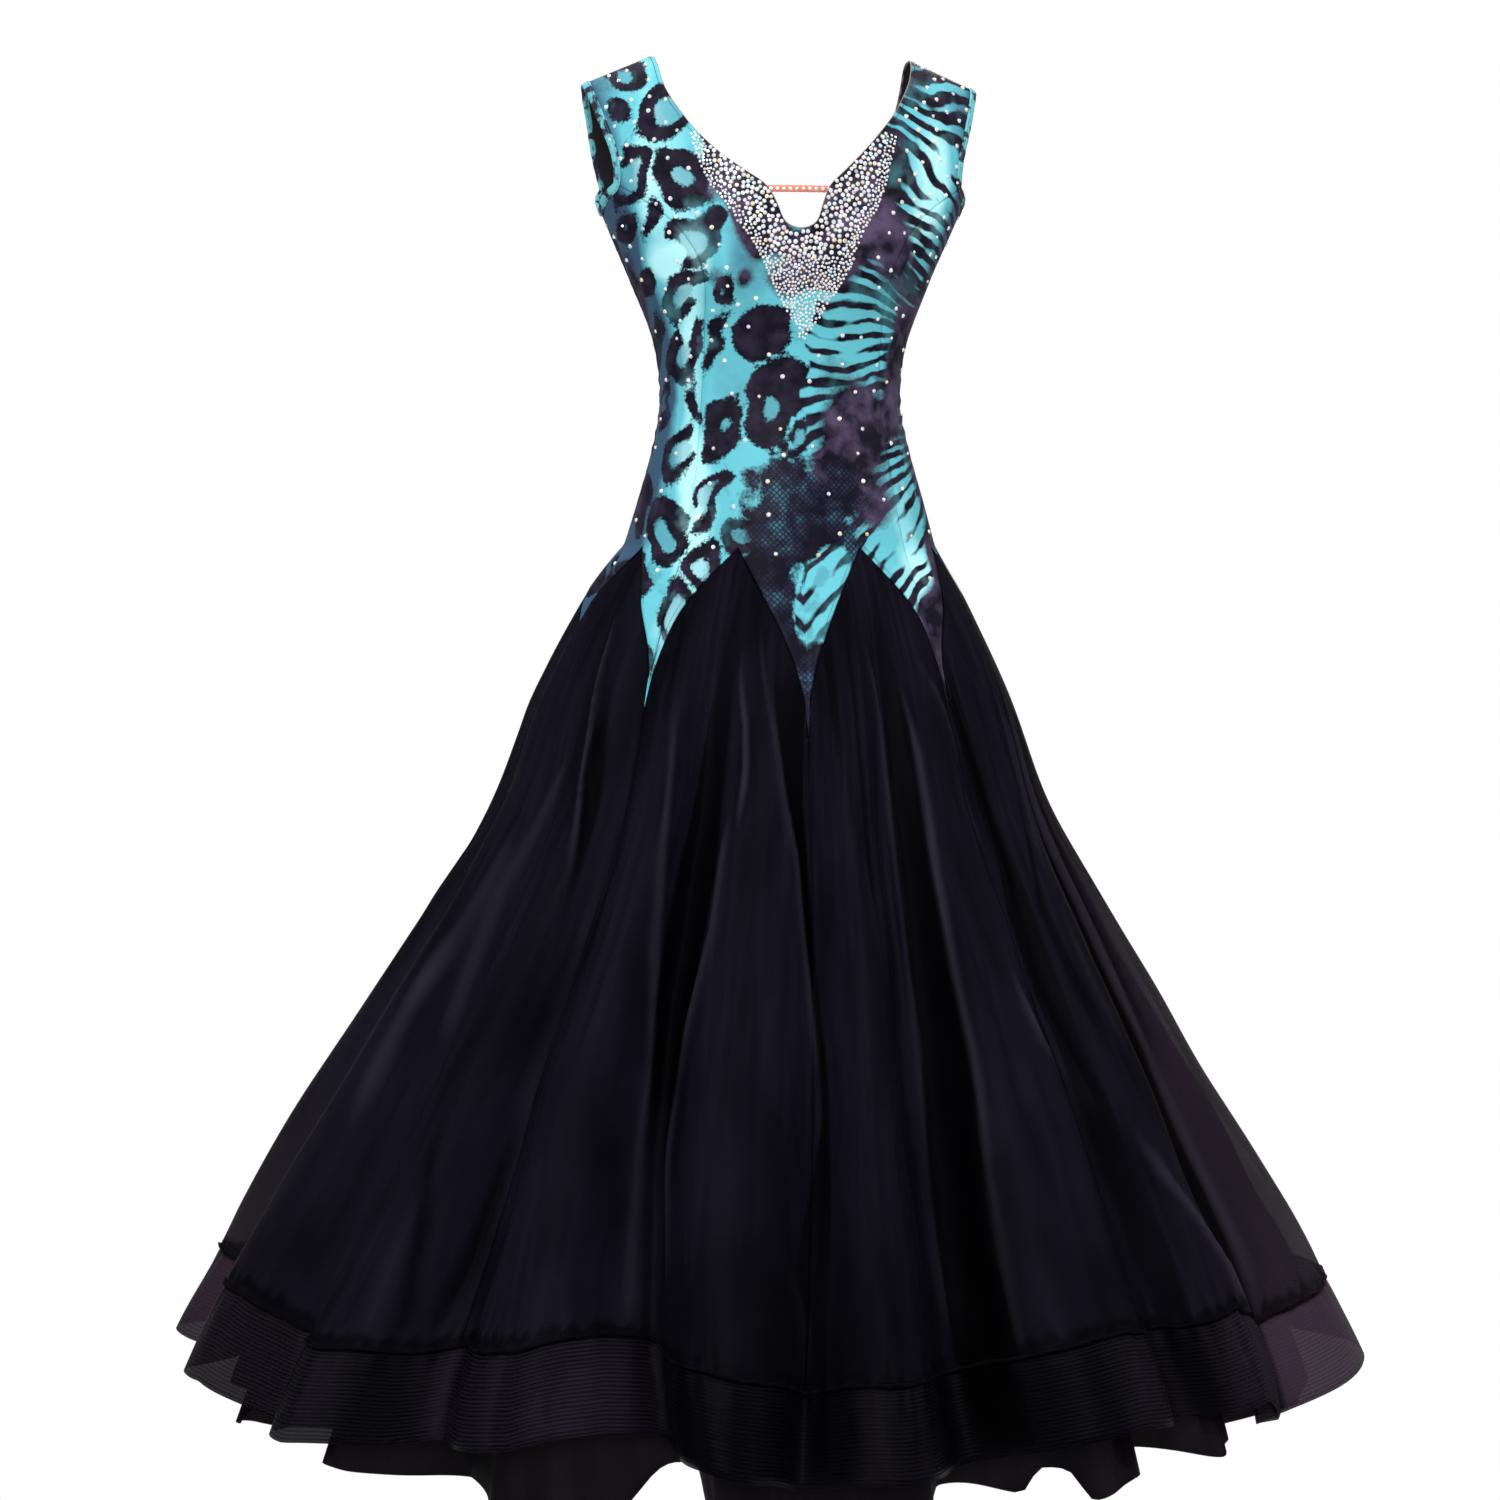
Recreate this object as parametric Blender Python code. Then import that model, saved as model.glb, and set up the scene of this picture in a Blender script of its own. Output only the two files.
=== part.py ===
"""Sleeveless ballroom dance dress, in the form it has when it is worn.

Metres, +Z up. The front faces -Y and the wearer's left is +X. The origin lies
midway between the shoulder straps, at the height where shoulders carry them.

Every piece of cloth is a patch of one outer surface. A patch is drawn in two
coordinates: the angle round the body, in degrees from the centre front
towards +X, and the level, which is the height up to the yoke and then runs
over the shoulder. The patch becomes a wall by moving its points inwards.
"""

import math
from collections import namedtuple

import bmesh
import bpy
from mathutils import Vector

# Cloth and seams
CLOTH = 0.002
SEAM_GAP = 0.0003
LAYER_GAP = 0.003

# Shoulders and neck, as distances from the centre line and heights
NECK_POINT_X = 0.1285
NECK_POINT_Z = 0.016
SHOULDER_SLOPE = 0.42
YOKE_LEVEL = -0.112
YOKE_SPAN = 0.127
YOKE_ROUNDING = 1.8
FRONT_NOTCH_LEVEL = -0.157
FRONT_NOTCH_ANGLE = 3.75
BACK_NECK_LEVEL = -0.20

# Bust cups, shaped by the princess seams
CUP_DEPTH = 0.021
CUP_ANGLE = 34.0
CUP_ANGLE_SPREAD = 19.0
CUP_LEVEL = -0.19
CUP_LEVEL_SPREAD = 0.042

# Hip line, where the skirt's godets are set into the bodice
HIP_LEVEL = -0.447
PEAK_LEVEL = -0.462
TONGUE_LENGTH = 0.152
FRONT_TONGUE_LENGTH = 0.185
ARCH_POWER = 1 / 2.2

# Skirt
HEM_SEAM_LEVEL = -1.19
BAND_HEIGHT = 0.075
HEM_DIP = 0.18
FLUTE_ROUNDING = 1.35
GODETS = 8
COLUMNS_PER_GODET = 12
SWELL_START = 0.08

# Underskirt, sewn in at the hip and cut longer than the outer skirt
UNDERSKIRT_HEM_LEVEL = -1.33
UNDERSKIRT_SIDE_HEM_LEVEL = -1.305
UNDERSKIRT_SHRINK = 0.11
UNDERSKIRT_SHRINK_POWER = 0.7
# Places where the underskirt's hem rises, with the reach to each side.
HemRise = namedtuple("HemRise", "angle reach height")
UNDERSKIRT_HEM_RISES = (HemRise(-22.5, 5.5, 0.036), HemRise(30.0, 3.0, 0.027))

# Bar across the neck notch
BAR_LEVEL = -0.119
BAR_HEIGHT = 0.006
BAR_HALF_ANGLE = 10.2
BAR_STEPS = 8

GODET_ANGLE = 360 / GODETS
COLUMN_ANGLE = GODET_ANGLE / COLUMNS_PER_GODET
COLUMNS_PER_PANEL = COLUMNS_PER_GODET
COLUMNS_ROUND = GODETS * COLUMNS_PER_GODET
SIDE_SEAM_ANGLE = 90.0
SHARP_ANGLE = 40.0

# A patch's points map (column, row) to (point, outward normal).
Patch = namedtuple("Patch", "points columns_round holes")

Section = namedtuple("Section", "level half_width front_depth back_depth")
BODICE_SECTIONS = (
    Section(-0.462, 0.156, 0.115, 0.125),
    Section(-0.425, 0.145, 0.111, 0.119),
    Section(-0.370, 0.130, 0.102, 0.105),
    Section(-0.320, 0.120, 0.095, 0.092),
    Section(-0.265, 0.126, 0.098, 0.092),
    Section(-0.205, 0.148, 0.111, 0.098),
    Section(-0.157, 0.170, 0.116, 0.101),
    Section(-0.132, 0.181, 0.114, 0.102),
    Section(-0.112, 0.190, 0.112, 0.102),
    Section(-0.060, 0.198, 0.111, 0.102),
    Section(0.015, 0.201, 0.111, 0.102),
)
SKIRT_SECTIONS = (
    Section(-0.462, 0.156, 0.115, 0.125),
    Section(-0.525, 0.193, 0.145, 0.154),
    Section(-0.605, 0.232, 0.182, 0.190),
    Section(-0.725, 0.280, 0.226, 0.234),
    Section(-0.845, 0.351, 0.279, 0.289),
    Section(-0.965, 0.425, 0.336, 0.346),
    Section(-1.085, 0.496, 0.390, 0.400),
    Section(-1.190, 0.557, 0.440, 0.450),
    Section(-1.265, 0.596, 0.472, 0.482),
    Section(-1.340, 0.630, 0.502, 0.512),
)

# Seam and edge lines of the bodice: the angle from the centre front, or from
# the centre back, at each level.
EdgePoint = namedtuple("EdgePoint", "level angle")
FRONT_PRINCESS_SEAM = (
    EdgePoint(-0.447, 45.0),
    EdgePoint(-0.390, 46.0),
    EdgePoint(-0.320, 48.0),
    EdgePoint(-0.265, 44.0),
    EdgePoint(-0.205, 38.5),
    EdgePoint(-0.157, 43.0),
    EdgePoint(-0.132, 52.0),
    EdgePoint(-0.112, 64.0),
)
BACK_PRINCESS_SEAM = (
    EdgePoint(-0.447, 45.0),
    EdgePoint(-0.320, 45.0),
    EdgePoint(-0.205, 44.0),
    EdgePoint(-0.157, 47.0),
    EdgePoint(-0.132, 55.0),
    EdgePoint(-0.112, 66.0),
)
FRONT_ARMHOLE = (
    EdgePoint(-0.112, 64.0),
    EdgePoint(-0.085, 62.5),
    EdgePoint(-0.060, 64.5),
    EdgePoint(-0.030, 69.0),
    EdgePoint(-0.008, 73.0),
    EdgePoint(0.015, 78.5),
)
BACK_ARMHOLE = (
    EdgePoint(-0.112, 66.0),
    EdgePoint(-0.085, 67.5),
    EdgePoint(-0.060, 69.0),
    EdgePoint(-0.030, 71.5),
    EdgePoint(-0.008, 75.0),
    EdgePoint(0.015, 78.5),
)

# Necklines: the distance from the centre line at each height, on the wearer's
# right and left. The front hangs a little open towards the right.
NeckPoint = namedtuple("NeckPoint", "height right_width left_width")
FRONT_NECKLINE = (
    NeckPoint(-0.157, 0.0111, 0.0111),
    NeckPoint(-0.147, 0.0180, 0.0175),
    NeckPoint(-0.132, 0.0235, 0.0225),
    NeckPoint(-0.115, 0.0340, 0.0300),
    NeckPoint(-0.105, 0.0490, 0.0405),
    NeckPoint(-0.085, 0.0765, 0.0615),
    NeckPoint(-0.063, 0.0985, 0.0820),
    NeckPoint(-0.044, 0.1115, 0.0980),
    NeckPoint(-0.027, 0.1210, 0.1090),
    NeckPoint(-0.011, 0.1260, 0.1180),
    NeckPoint(0.016, 0.1285, 0.1285),
)
BACK_NECKLINE = (
    NeckPoint(-0.200, 0.0000, 0.0000),
    NeckPoint(-0.172, 0.0450, 0.0450),
    NeckPoint(-0.137, 0.0830, 0.0830),
    NeckPoint(-0.100, 0.1050, 0.1050),
    NeckPoint(-0.065, 0.1190, 0.1190),
    NeckPoint(-0.035, 0.1270, 0.1270),
    NeckPoint(-0.008, 0.1300, 0.1300),
    NeckPoint(0.016, 0.1285, 0.1285),
)

# Rows of the bodice from the hip to the yoke. They lie lower at the side
# seam, because the armhole's bottom is lower there.
BodiceRow = namedtuple("BodiceRow", "centre_level side_level")
BODICE_ROWS = (
    BodiceRow(-0.447, -0.447),
    BodiceRow(-0.408, -0.408),
    BodiceRow(-0.366, -0.366),
    BodiceRow(-0.320, -0.320),
    BodiceRow(-0.278, -0.280),
    BodiceRow(-0.238, -0.244),
    BodiceRow(-0.200, -0.210),
    BodiceRow(-0.174, -0.189),
    BodiceRow(-0.157, -0.176),
    BodiceRow(-0.147, -0.166),
    BodiceRow(-0.132, -0.154),
    BodiceRow(-0.112, -0.135),
)
YOKE_SHARES = (0.15, 0.3, 0.46, 0.62, 0.77, 0.89, 0.97, 1.0)
TONGUE_ROWS = 4
GODET_SHARES = (0, 0.06, 0.14, 0.25, 0.38, 0.52, 0.66, 0.8, 0.91, 1)
BAND_SHARES = (0, 1)
UNDERSKIRT_SHARES = (0, 0.012, 0.04, 0.1, 0.19, 0.31, 0.46, 0.63, 0.81, 1)
UNDERSKIRT_FREE_SHARE = 0.03

# The skirt's folds. Cloth runs in a rounded flute from each fold line to the
# next. A line starts at its angle at the hip, bows sideways on its way and
# ends at its hem angle. At the hem it lies its depth inside the flutes and
# hem_lift higher. The flute after it swells out by its swell.
FoldLine = namedtuple("FoldLine", "angle hem_angle bow depth start_level hem_lift swell")
FOLD_LINES = (
    FoldLine(-180.0, -183.0, 0.0, 0.075, -0.462, 0.000, 0.004),
    FoldLine(-157.5, -160.0, 2.0, 0.060, -0.55, 0.006, 0.000),
    FoldLine(-135.0, -139.0, 0.0, 0.080, -0.462, 0.000, 0.008),
    FoldLine(-112.5, -112.0, -2.0, 0.055, -0.56, 0.014, 0.020),
    FoldLine(-90.0, -90.0, 0.0, 0.050, -0.462, 0.012, 0.016),
    FoldLine(-67.5, -66.0, 2.0, 0.055, -0.58, 0.004, 0.004),
    FoldLine(-45.0, -46.5, 0.0, 0.080, -0.462, 0.018, 0.000),
    FoldLine(-22.5, -22.0, -4.0, 0.100, -0.49, 0.020, 0.000),
    FoldLine(0.0, -5.0, 0.5, 0.080, -0.462, 0.000, 0.000),
    FoldLine(22.5, 12.0, -3.0, 0.110, -0.52, 0.008, 0.000),
    FoldLine(45.0, 39.0, -1.0, 0.090, -0.462, 0.014, 0.000),
    FoldLine(67.5, 49.0, -2.0, 0.045, -0.60, -0.012, -0.004),
    FoldLine(90.0, 93.0, 0.0, 0.060, -0.462, -0.004, 0.000),
    FoldLine(112.5, 109.0, 2.0, 0.060, -0.55, 0.004, 0.000),
    FoldLine(135.0, 131.0, 0.0, 0.080, -0.462, 0.000, 0.006),
    FoldLine(157.5, 154.0, -2.0, 0.065, -0.56, 0.006, 0.000),
    FoldLine(180.0, 177.0, 0.0, 0.075, -0.462, 0.000, 0.004),
)
FLUTE_ANGLE = FOLD_LINES[1].angle - FOLD_LINES[0].angle
FOLD_GROWTH_POWER = 0.9

# Colours, as red, green and blue, and roughness
Finish = namedtuple("Finish", "name colour roughness")
PRINTED_STRETCH_CLOTH = Finish("printed_stretch_cloth", (0.05, 0.32, 0.36), 0.55)
BLACK_ORGANZA = Finish("black_organza", (0.012, 0.011, 0.018), 0.5)
BLACK_HORSEHAIR_BRAID = Finish("black_horsehair_braid", (0.016, 0.014, 0.022), 0.4)
BLACK_UNDERSKIRT_CLOTH = Finish("black_underskirt_cloth", (0.01, 0.009, 0.013), 0.6)
NUDE_BAR_CLOTH = Finish("nude_bar_cloth", (0.75, 0.33, 0.22), 0.6)


def between(start, end, share):
    return start + (end - start) * share


def curve_value(table, key, column, at):
    """A column of a table as a smooth curve over its key column."""
    keys = [getattr(row, key) for row in table]
    values = [getattr(row, column) for row in table]
    if keys[0] > keys[-1]:
        keys.reverse()
        values.reverse()
    last = len(keys) - 1
    if at <= keys[0]:
        return values[0]
    if at >= keys[last]:
        return values[last]
    left = max(i for i in range(last) if keys[i] <= at)

    def slope(i):
        low, high = max(i - 1, 0), min(i + 1, last)
        return (values[high] - values[low]) / (keys[high] - keys[low])

    step = keys[left + 1] - keys[left]
    share = (at - keys[left]) / step
    blend = share * share * (3 - 2 * share)
    start_bulge = share * (1 - share) ** 2 * step * slope(left)
    end_bulge = share * share * (share - 1) * step * slope(left + 1)
    return between(values[left], values[left + 1], blend) + start_bulge + end_bulge


def depth_at(sections, level, angle):
    """Front depth on the front half of the body and back depth on the back half."""
    column = "front_depth" if math.cos(math.radians(angle)) > 0 else "back_depth"
    return curve_value(sections, "level", column, level)


def cup_depth(angle, level):
    sideways = (abs(angle) - CUP_ANGLE) / CUP_ANGLE_SPREAD
    upwards = (level - CUP_LEVEL) / CUP_LEVEL_SPREAD
    return CUP_DEPTH * math.exp(-sideways * sideways - upwards * upwards)


def ridge_height(x):
    """Height of the shoulder seam."""
    return NECK_POINT_Z - SHOULDER_SLOPE * (abs(x) - NECK_POINT_X)


def bodice_point(angle, level):
    """A point of the bodice. Levels beyond the yoke's top come down on the other side."""
    turn = math.radians(angle)
    x = curve_value(BODICE_SECTIONS, "level", "half_width", level) * math.sin(turn)
    depth = depth_at(BODICE_SECTIONS, level, angle) + cup_depth(angle, level)
    y = -depth * math.cos(turn)
    if level <= YOKE_LEVEL:
        return Vector((x, y, level))
    over = (level - YOKE_LEVEL) / YOKE_SPAN
    if over > 1:
        over, y = 2 - over, -y
    height = between(YOKE_LEVEL, ridge_height(x), over)
    return Vector((x, y * math.sqrt(1 - over**YOKE_ROUNDING), height))


def flute_place(angle):
    """The fold lines on either side of an angle, and how far it lies between them."""
    turned = (angle + 180) % 360
    index = min(int(turned / FLUTE_ANGLE), len(FOLD_LINES) - 2)
    return FOLD_LINES[index], FOLD_LINES[index + 1], turned / FLUTE_ANGLE - index


def fold_recess(angle, level):
    """How far the cloth lies inside the skirt's outline because of the folds."""
    before, after, share = flute_place(angle)
    line = before if share < 0.5 else after
    nearness = abs(1 - 2 * share)
    grown = (line.start_level - level) / (line.start_level - HEM_SEAM_LEVEL)
    grown = max(grown, 0) ** FOLD_GROWTH_POWER
    return line.depth * grown * (1 - math.cos(math.pi * nearness**FLUTE_ROUNDING)) / 2


def skirt_point(angle, level):
    before, after, share = flute_place(angle)
    drift = between(before.hem_angle - before.angle, after.hem_angle - after.angle, share)
    bow = between(before.bow, after.bow, share)
    fallen = (PEAK_LEVEL - level) / (PEAK_LEVEL - HEM_SEAM_LEVEL)
    turned = angle + drift * fallen + bow * 4 * fallen * (1 - fallen)
    turn = math.radians(turned)
    width = curve_value(SKIRT_SECTIONS, "level", "half_width", level)
    depth = depth_at(SKIRT_SECTIONS, level, turned)
    swollen = before.swell * math.sin(math.pi * share) ** 2 * fallen / (fallen + SWELL_START)
    reach = 1 + (swollen - fold_recess(angle, level)) / width
    return Vector((width * reach * math.sin(turn), -depth * reach * math.cos(turn), level))


def dress_point(angle, level):
    if level < PEAK_LEVEL:
        return skirt_point(angle, level)
    return bodice_point(angle, level)


def outward_normal(surface, angle, level):
    """The outward normal, from points a small step away on the surface."""
    step_angle, step_level = 0.2, 0.0005
    across = surface(angle + step_angle, level) - surface(angle - step_angle, level)
    up = surface(angle, level + step_level) - surface(angle, level - step_level)
    return across.cross(up).normalized()


def edge_level(angle):
    """Level of the seam between bodice and godets: arches with long tongues between."""
    tongue = round(angle / GODET_ANGLE)
    length = FRONT_TONGUE_LENGTH if tongue == 0 else TONGUE_LENGTH
    from_peak = 1 - abs(angle - tongue * GODET_ANGLE) / (GODET_ANGLE / 2)
    from_peak = min(max(from_peak, 0), 1)
    return PEAK_LEVEL - length * (1 - (1 - from_peak) ** ARCH_POWER)


def seam_level(angle):
    """Level of the seam between the godets and the hem band."""
    before, after, share = flute_place(angle)
    lift = between(before.hem_lift, after.hem_lift, share)
    return HEM_SEAM_LEVEL + lift - HEM_DIP * fold_recess(angle, HEM_SEAM_LEVEL)


def neck_angle(neckline, side, level):
    """Angle of a neckline at a level. Its height and width depend on each other."""
    column = "left_width" if side > 0 else "right_width"
    over = max((level - YOKE_LEVEL) / YOKE_SPAN, 0)
    x = NECK_POINT_X
    for _ in range(30):
        height = between(YOKE_LEVEL, ridge_height(x), over) if over > 0 else level
        x = (x + curve_value(neckline, "height", column, height)) / 2
    return math.degrees(math.asin(x / curve_value(BODICE_SECTIONS, "level", "half_width", level)))


def clear_scene():
    for old in list(bpy.data.objects):
        bpy.data.objects.remove(old)


def material_of(finish):
    material = bpy.data.materials.get(finish.name) or bpy.data.materials.new(finish.name)
    material.use_nodes = True
    shader = material.node_tree.nodes["Principled BSDF"]
    shader.inputs["Base Color"].default_value = (*finish.colour, 1)
    shader.inputs["Roughness"].default_value = finish.roughness
    shader.inputs["Metallic"].default_value = 0
    return material


def seam_insets(bm, normals):
    """How far each edge point moves into its piece, so that pieces stop short of their seam."""
    moves = {}
    for edge in bm.edges:
        if not edge.is_boundary:
            continue
        loop = edge.link_loops[0]
        start, end = loop.vert, loop.link_loop_next.vert
        along = (end.co - start.co).normalized()
        for vert in (start, end):
            inwards = normals[vert.index].cross(along).normalized()
            moves.setdefault(vert, []).append(inwards)
    insets = {}
    for vert, sides in moves.items():
        middle = sum(sides, Vector())
        reach = max(middle.normalized().dot(sides[0]), 0.05)
        insets[vert] = middle.normalized() * (SEAM_GAP / 2 / reach)
    return insets


def cloth_wall(name, patch, finish):
    """A closed wall from a patch's points and outward normals, keyed by (column, row).

    Four neighbouring entries make a face, so a missing entry leaves a hole.
    """
    bm = bmesh.new()
    verts, normals = {}, []
    for place, (point, normal) in patch.points.items():
        verts[place] = bm.verts.new(point)
        normals.append(normal)
    bm.verts.index_update()
    order = {vert: (round(vert.co.z, 6), round(vert.co.x, 6)) for vert in bm.verts}
    for column, row in patch.points:
        right = (column + 1) % patch.columns_round if patch.columns_round else column + 1
        corners = [(column, row), (right, row), (right, row + 1), (column, row + 1)]
        if (column, row) not in patch.holes and all(corner in verts for corner in corners):
            bm.faces.new([verts[corner] for corner in corners])
    outer = list(bm.verts)
    for vert, move in seam_insets(bm, normals).items():
        vert.co += move
    outline = [edge.link_loops[0] for edge in bm.edges if edge.is_boundary]
    outline = [(loop.vert, loop.link_loop_next.vert) for loop in outline]
    faces = [list(face.verts) for face in bm.faces]
    inner = {vert: bm.verts.new(vert.co - normals[vert.index] * CLOTH) for vert in outer}
    for corners in faces:
        bm.faces.new([inner[vert] for vert in reversed(corners)])
    for start, end in outline:
        # Two pieces split the walls along their seam the same way, so the gap stays even.
        if order[start] < order[end]:
            bm.faces.new([end, start, inner[end]])
            bm.faces.new([start, inner[start], inner[end]])
        else:
            bm.faces.new([end, start, inner[start]])
            bm.faces.new([end, inner[start], inner[end]])
    mesh = bpy.data.meshes.new(name)
    bm.to_mesh(mesh)
    bm.free()
    mesh.shade_smooth()
    mesh.set_sharp_from_angle(angle=math.radians(SHARP_ANGLE))
    mesh.materials.append(material_of(finish))
    bpy.context.scene.collection.objects.link(bpy.data.objects.new(name, mesh))


def patch_of(places, offset=0.0, columns_round=0, holes=()):
    """A patch from {(column, row): (angle, level)}, moved inwards by an offset."""
    points = {}
    for place, (angle, level) in places.items():
        normal = outward_normal(dress_point, angle, level)
        points[place] = (dress_point(angle, level) - normal * offset, normal)
    return Patch(points, columns_round, holes)


def body_angle(angle, side, back):
    """An angle counted from the centre front, or centre back, towards one side."""
    return side * (180 - angle) if back else side * angle


def panel_columns(side, back):
    """Columns of a panel outwards from its inner seam, signed to grow with the body angle."""
    sign = -side if back else side
    return [sign * step for step in range(COLUMNS_PER_PANEL + 1)]


def tongue_rows(places, columns, angle_of):
    """The rows of a bodice panel between its zigzag edge and the hip."""
    for column in columns:
        angle = angle_of(column)
        low = edge_level(angle)
        for row in range(TONGUE_ROWS):
            places[column, row] = (angle, between(low, HIP_LEVEL, row / TONGUE_ROWS))


def rows_to_shoulder():
    """Row number and level of each row from the hip to the shoulder seam."""
    levels = [row.centre_level for row in BODICE_ROWS]
    levels += [YOKE_LEVEL + YOKE_SPAN * share for share in YOKE_SHARES]
    return enumerate(levels, TONGUE_ROWS)


def outer_edge_angle(seam, armhole, level):
    """Angle of a centre panel's outer edge: a princess seam, and the armhole above it."""
    return curve_value(seam if level <= YOKE_LEVEL else armhole, "level", "angle", level)


def front_centre_panel():
    """Chest and centre front down to three tongues, with the notched neckline cut out."""
    edge = COLUMNS_PER_PANEL
    places = {}
    tongue_rows(places, range(-edge, edge + 1), lambda column: column * COLUMN_ANGLE)
    holes = []
    for row, level in rows_to_shoulder():
        outer = outer_edge_angle(FRONT_PRINCESS_SEAM, FRONT_ARMHOLE, level)
        for side in (1, -1):
            inner = FRONT_NOTCH_ANGLE
            if level > FRONT_NOTCH_LEVEL:
                inner = neck_angle(FRONT_NECKLINE, side, level)
            for column in range(1, edge + 1):
                angle = between(inner, outer, (column - 1) / (edge - 1))
                places[side * column, row] = (side * angle, level)
        if level <= FRONT_NOTCH_LEVEL:
            places[0, row] = (0.0, level)
        if level >= FRONT_NOTCH_LEVEL:
            holes += [(-1, row), (0, row)]
    cloth_wall("front_centre_panel", patch_of(places, holes=holes), PRINTED_STRETCH_CLOTH)


def side_panel(name, seam, side, back):
    """A panel from a princess seam to the side seam, under the armhole."""
    places = {}
    columns = panel_columns(side, back)
    tongue_rows(
        places,
        columns,
        lambda column: body_angle(GODET_ANGLE + abs(column) * COLUMN_ANGLE, side, back),
    )
    for row, heights in enumerate(BODICE_ROWS, TONGUE_ROWS):
        start = curve_value(seam, "level", "angle", heights.centre_level)
        for column in columns:
            share = abs(column) / COLUMNS_PER_PANEL
            angle = body_angle(between(start, SIDE_SEAM_ANGLE, share), side, back)
            level = between(heights.centre_level, heights.side_level, share)
            places[column, row] = (angle, level)
    cloth_wall(name, patch_of(places), PRINTED_STRETCH_CLOTH)


def back_centre_panel(name, side):
    """Half of the back, from the centre back seam to the back princess seam and armhole."""
    places = {}
    columns = panel_columns(side, back=True)
    tongue_rows(
        places,
        columns,
        lambda column: body_angle(abs(column) * COLUMN_ANGLE, side, back=True),
    )
    for row, level in rows_to_shoulder():
        outer = outer_edge_angle(BACK_PRINCESS_SEAM, BACK_ARMHOLE, level)
        inner = neck_angle(BACK_NECKLINE, side, level) if level > BACK_NECK_LEVEL else 0.0
        for column in columns:
            angle = between(inner, outer, abs(column) / COLUMNS_PER_PANEL)
            places[column, row] = (body_angle(angle, side, back=True), level)
    cloth_wall(name, patch_of(places), PRINTED_STRETCH_CLOTH)


def godet(number, first_angle):
    """A flared organza piece, from its arched top to the hem seam."""
    places = {}
    for column in range(COLUMNS_PER_GODET + 1):
        angle = first_angle + column * COLUMN_ANGLE
        for row, share in enumerate(reversed(GODET_SHARES)):
            places[column, row] = (angle, between(edge_level(angle), seam_level(angle), share))
    cloth_wall(f"godet_{number}", patch_of(places), BLACK_ORGANZA)


def hem_band():
    """The stiff horsehair braid round the hem."""
    places = {}
    for column in range(COLUMNS_ROUND):
        angle = -180 + column * COLUMN_ANGLE
        for row, share in enumerate(reversed(BAND_SHARES)):
            places[column, row] = (angle, seam_level(angle) - BAND_HEIGHT * share)
    patch = patch_of(places, columns_round=COLUMNS_ROUND)
    cloth_wall("hem_band", patch, BLACK_HORSEHAIR_BRAID)


def underskirt_hem_level(angle):
    """The hem hangs lower in the middle of the front and the back, and rises in places."""
    middle = math.cos(math.radians(angle)) ** 2
    level = between(UNDERSKIRT_SIDE_HEM_LEVEL, UNDERSKIRT_HEM_LEVEL, middle)
    for rise in UNDERSKIRT_HEM_RISES:
        level += rise.height * max(1 - ((angle - rise.angle) / rise.reach) ** 2, 0)
    return level


def underskirt():
    """A flared inner skirt, sewn to the bodice at the hip and free of the skirt below."""
    points = {}
    for column in range(COLUMNS_ROUND):
        angle = -180 + column * COLUMN_ANGLE
        for row, share in enumerate(reversed(UNDERSKIRT_SHARES)):
            level = between(HIP_LEVEL, underskirt_hem_level(angle), share)
            normal = outward_normal(dress_point, angle, level)
            gap = between(SEAM_GAP, LAYER_GAP, min(share / UNDERSKIRT_FREE_SHARE, 1))
            point = dress_point(angle, level) - normal * (CLOTH + gap)
            kept = 1 - UNDERSKIRT_SHRINK * share**UNDERSKIRT_SHRINK_POWER
            points[column, row] = (Vector((point.x * kept, point.y * kept, level)), normal)
    patch = Patch(points, COLUMNS_ROUND, holes=())
    cloth_wall("underskirt", patch, BLACK_UNDERSKIRT_CLOTH)


def neck_bar():
    """The strip that holds the neck notch together, sewn behind its two edges."""
    places = {}
    for column in range(BAR_STEPS + 1):
        angle = BAR_HALF_ANGLE * (2 * column / BAR_STEPS - 1)
        for row in (0, 1):
            places[column, row] = (angle, BAR_LEVEL + BAR_HEIGHT * (row - 0.5))
    cloth_wall("neck_bar", patch_of(places, offset=CLOTH + SEAM_GAP), NUDE_BAR_CLOTH)


def main():
    clear_scene()
    front_centre_panel()
    for hand, side in (("left", 1), ("right", -1)):
        side_panel(f"front_side_panel_{hand}", FRONT_PRINCESS_SEAM, side, back=False)
        side_panel(f"back_side_panel_{hand}", BACK_PRINCESS_SEAM, side, back=True)
        back_centre_panel(f"back_centre_panel_{hand}", side)
    for number in range(GODETS):
        godet(number + 1, -180 + number * GODET_ANGLE)
    hem_band()
    underskirt()
    neck_bar()


main()
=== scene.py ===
import math
import random

import bmesh
import bpy
import numpy as np
from mathutils import Matrix, Vector


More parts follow.
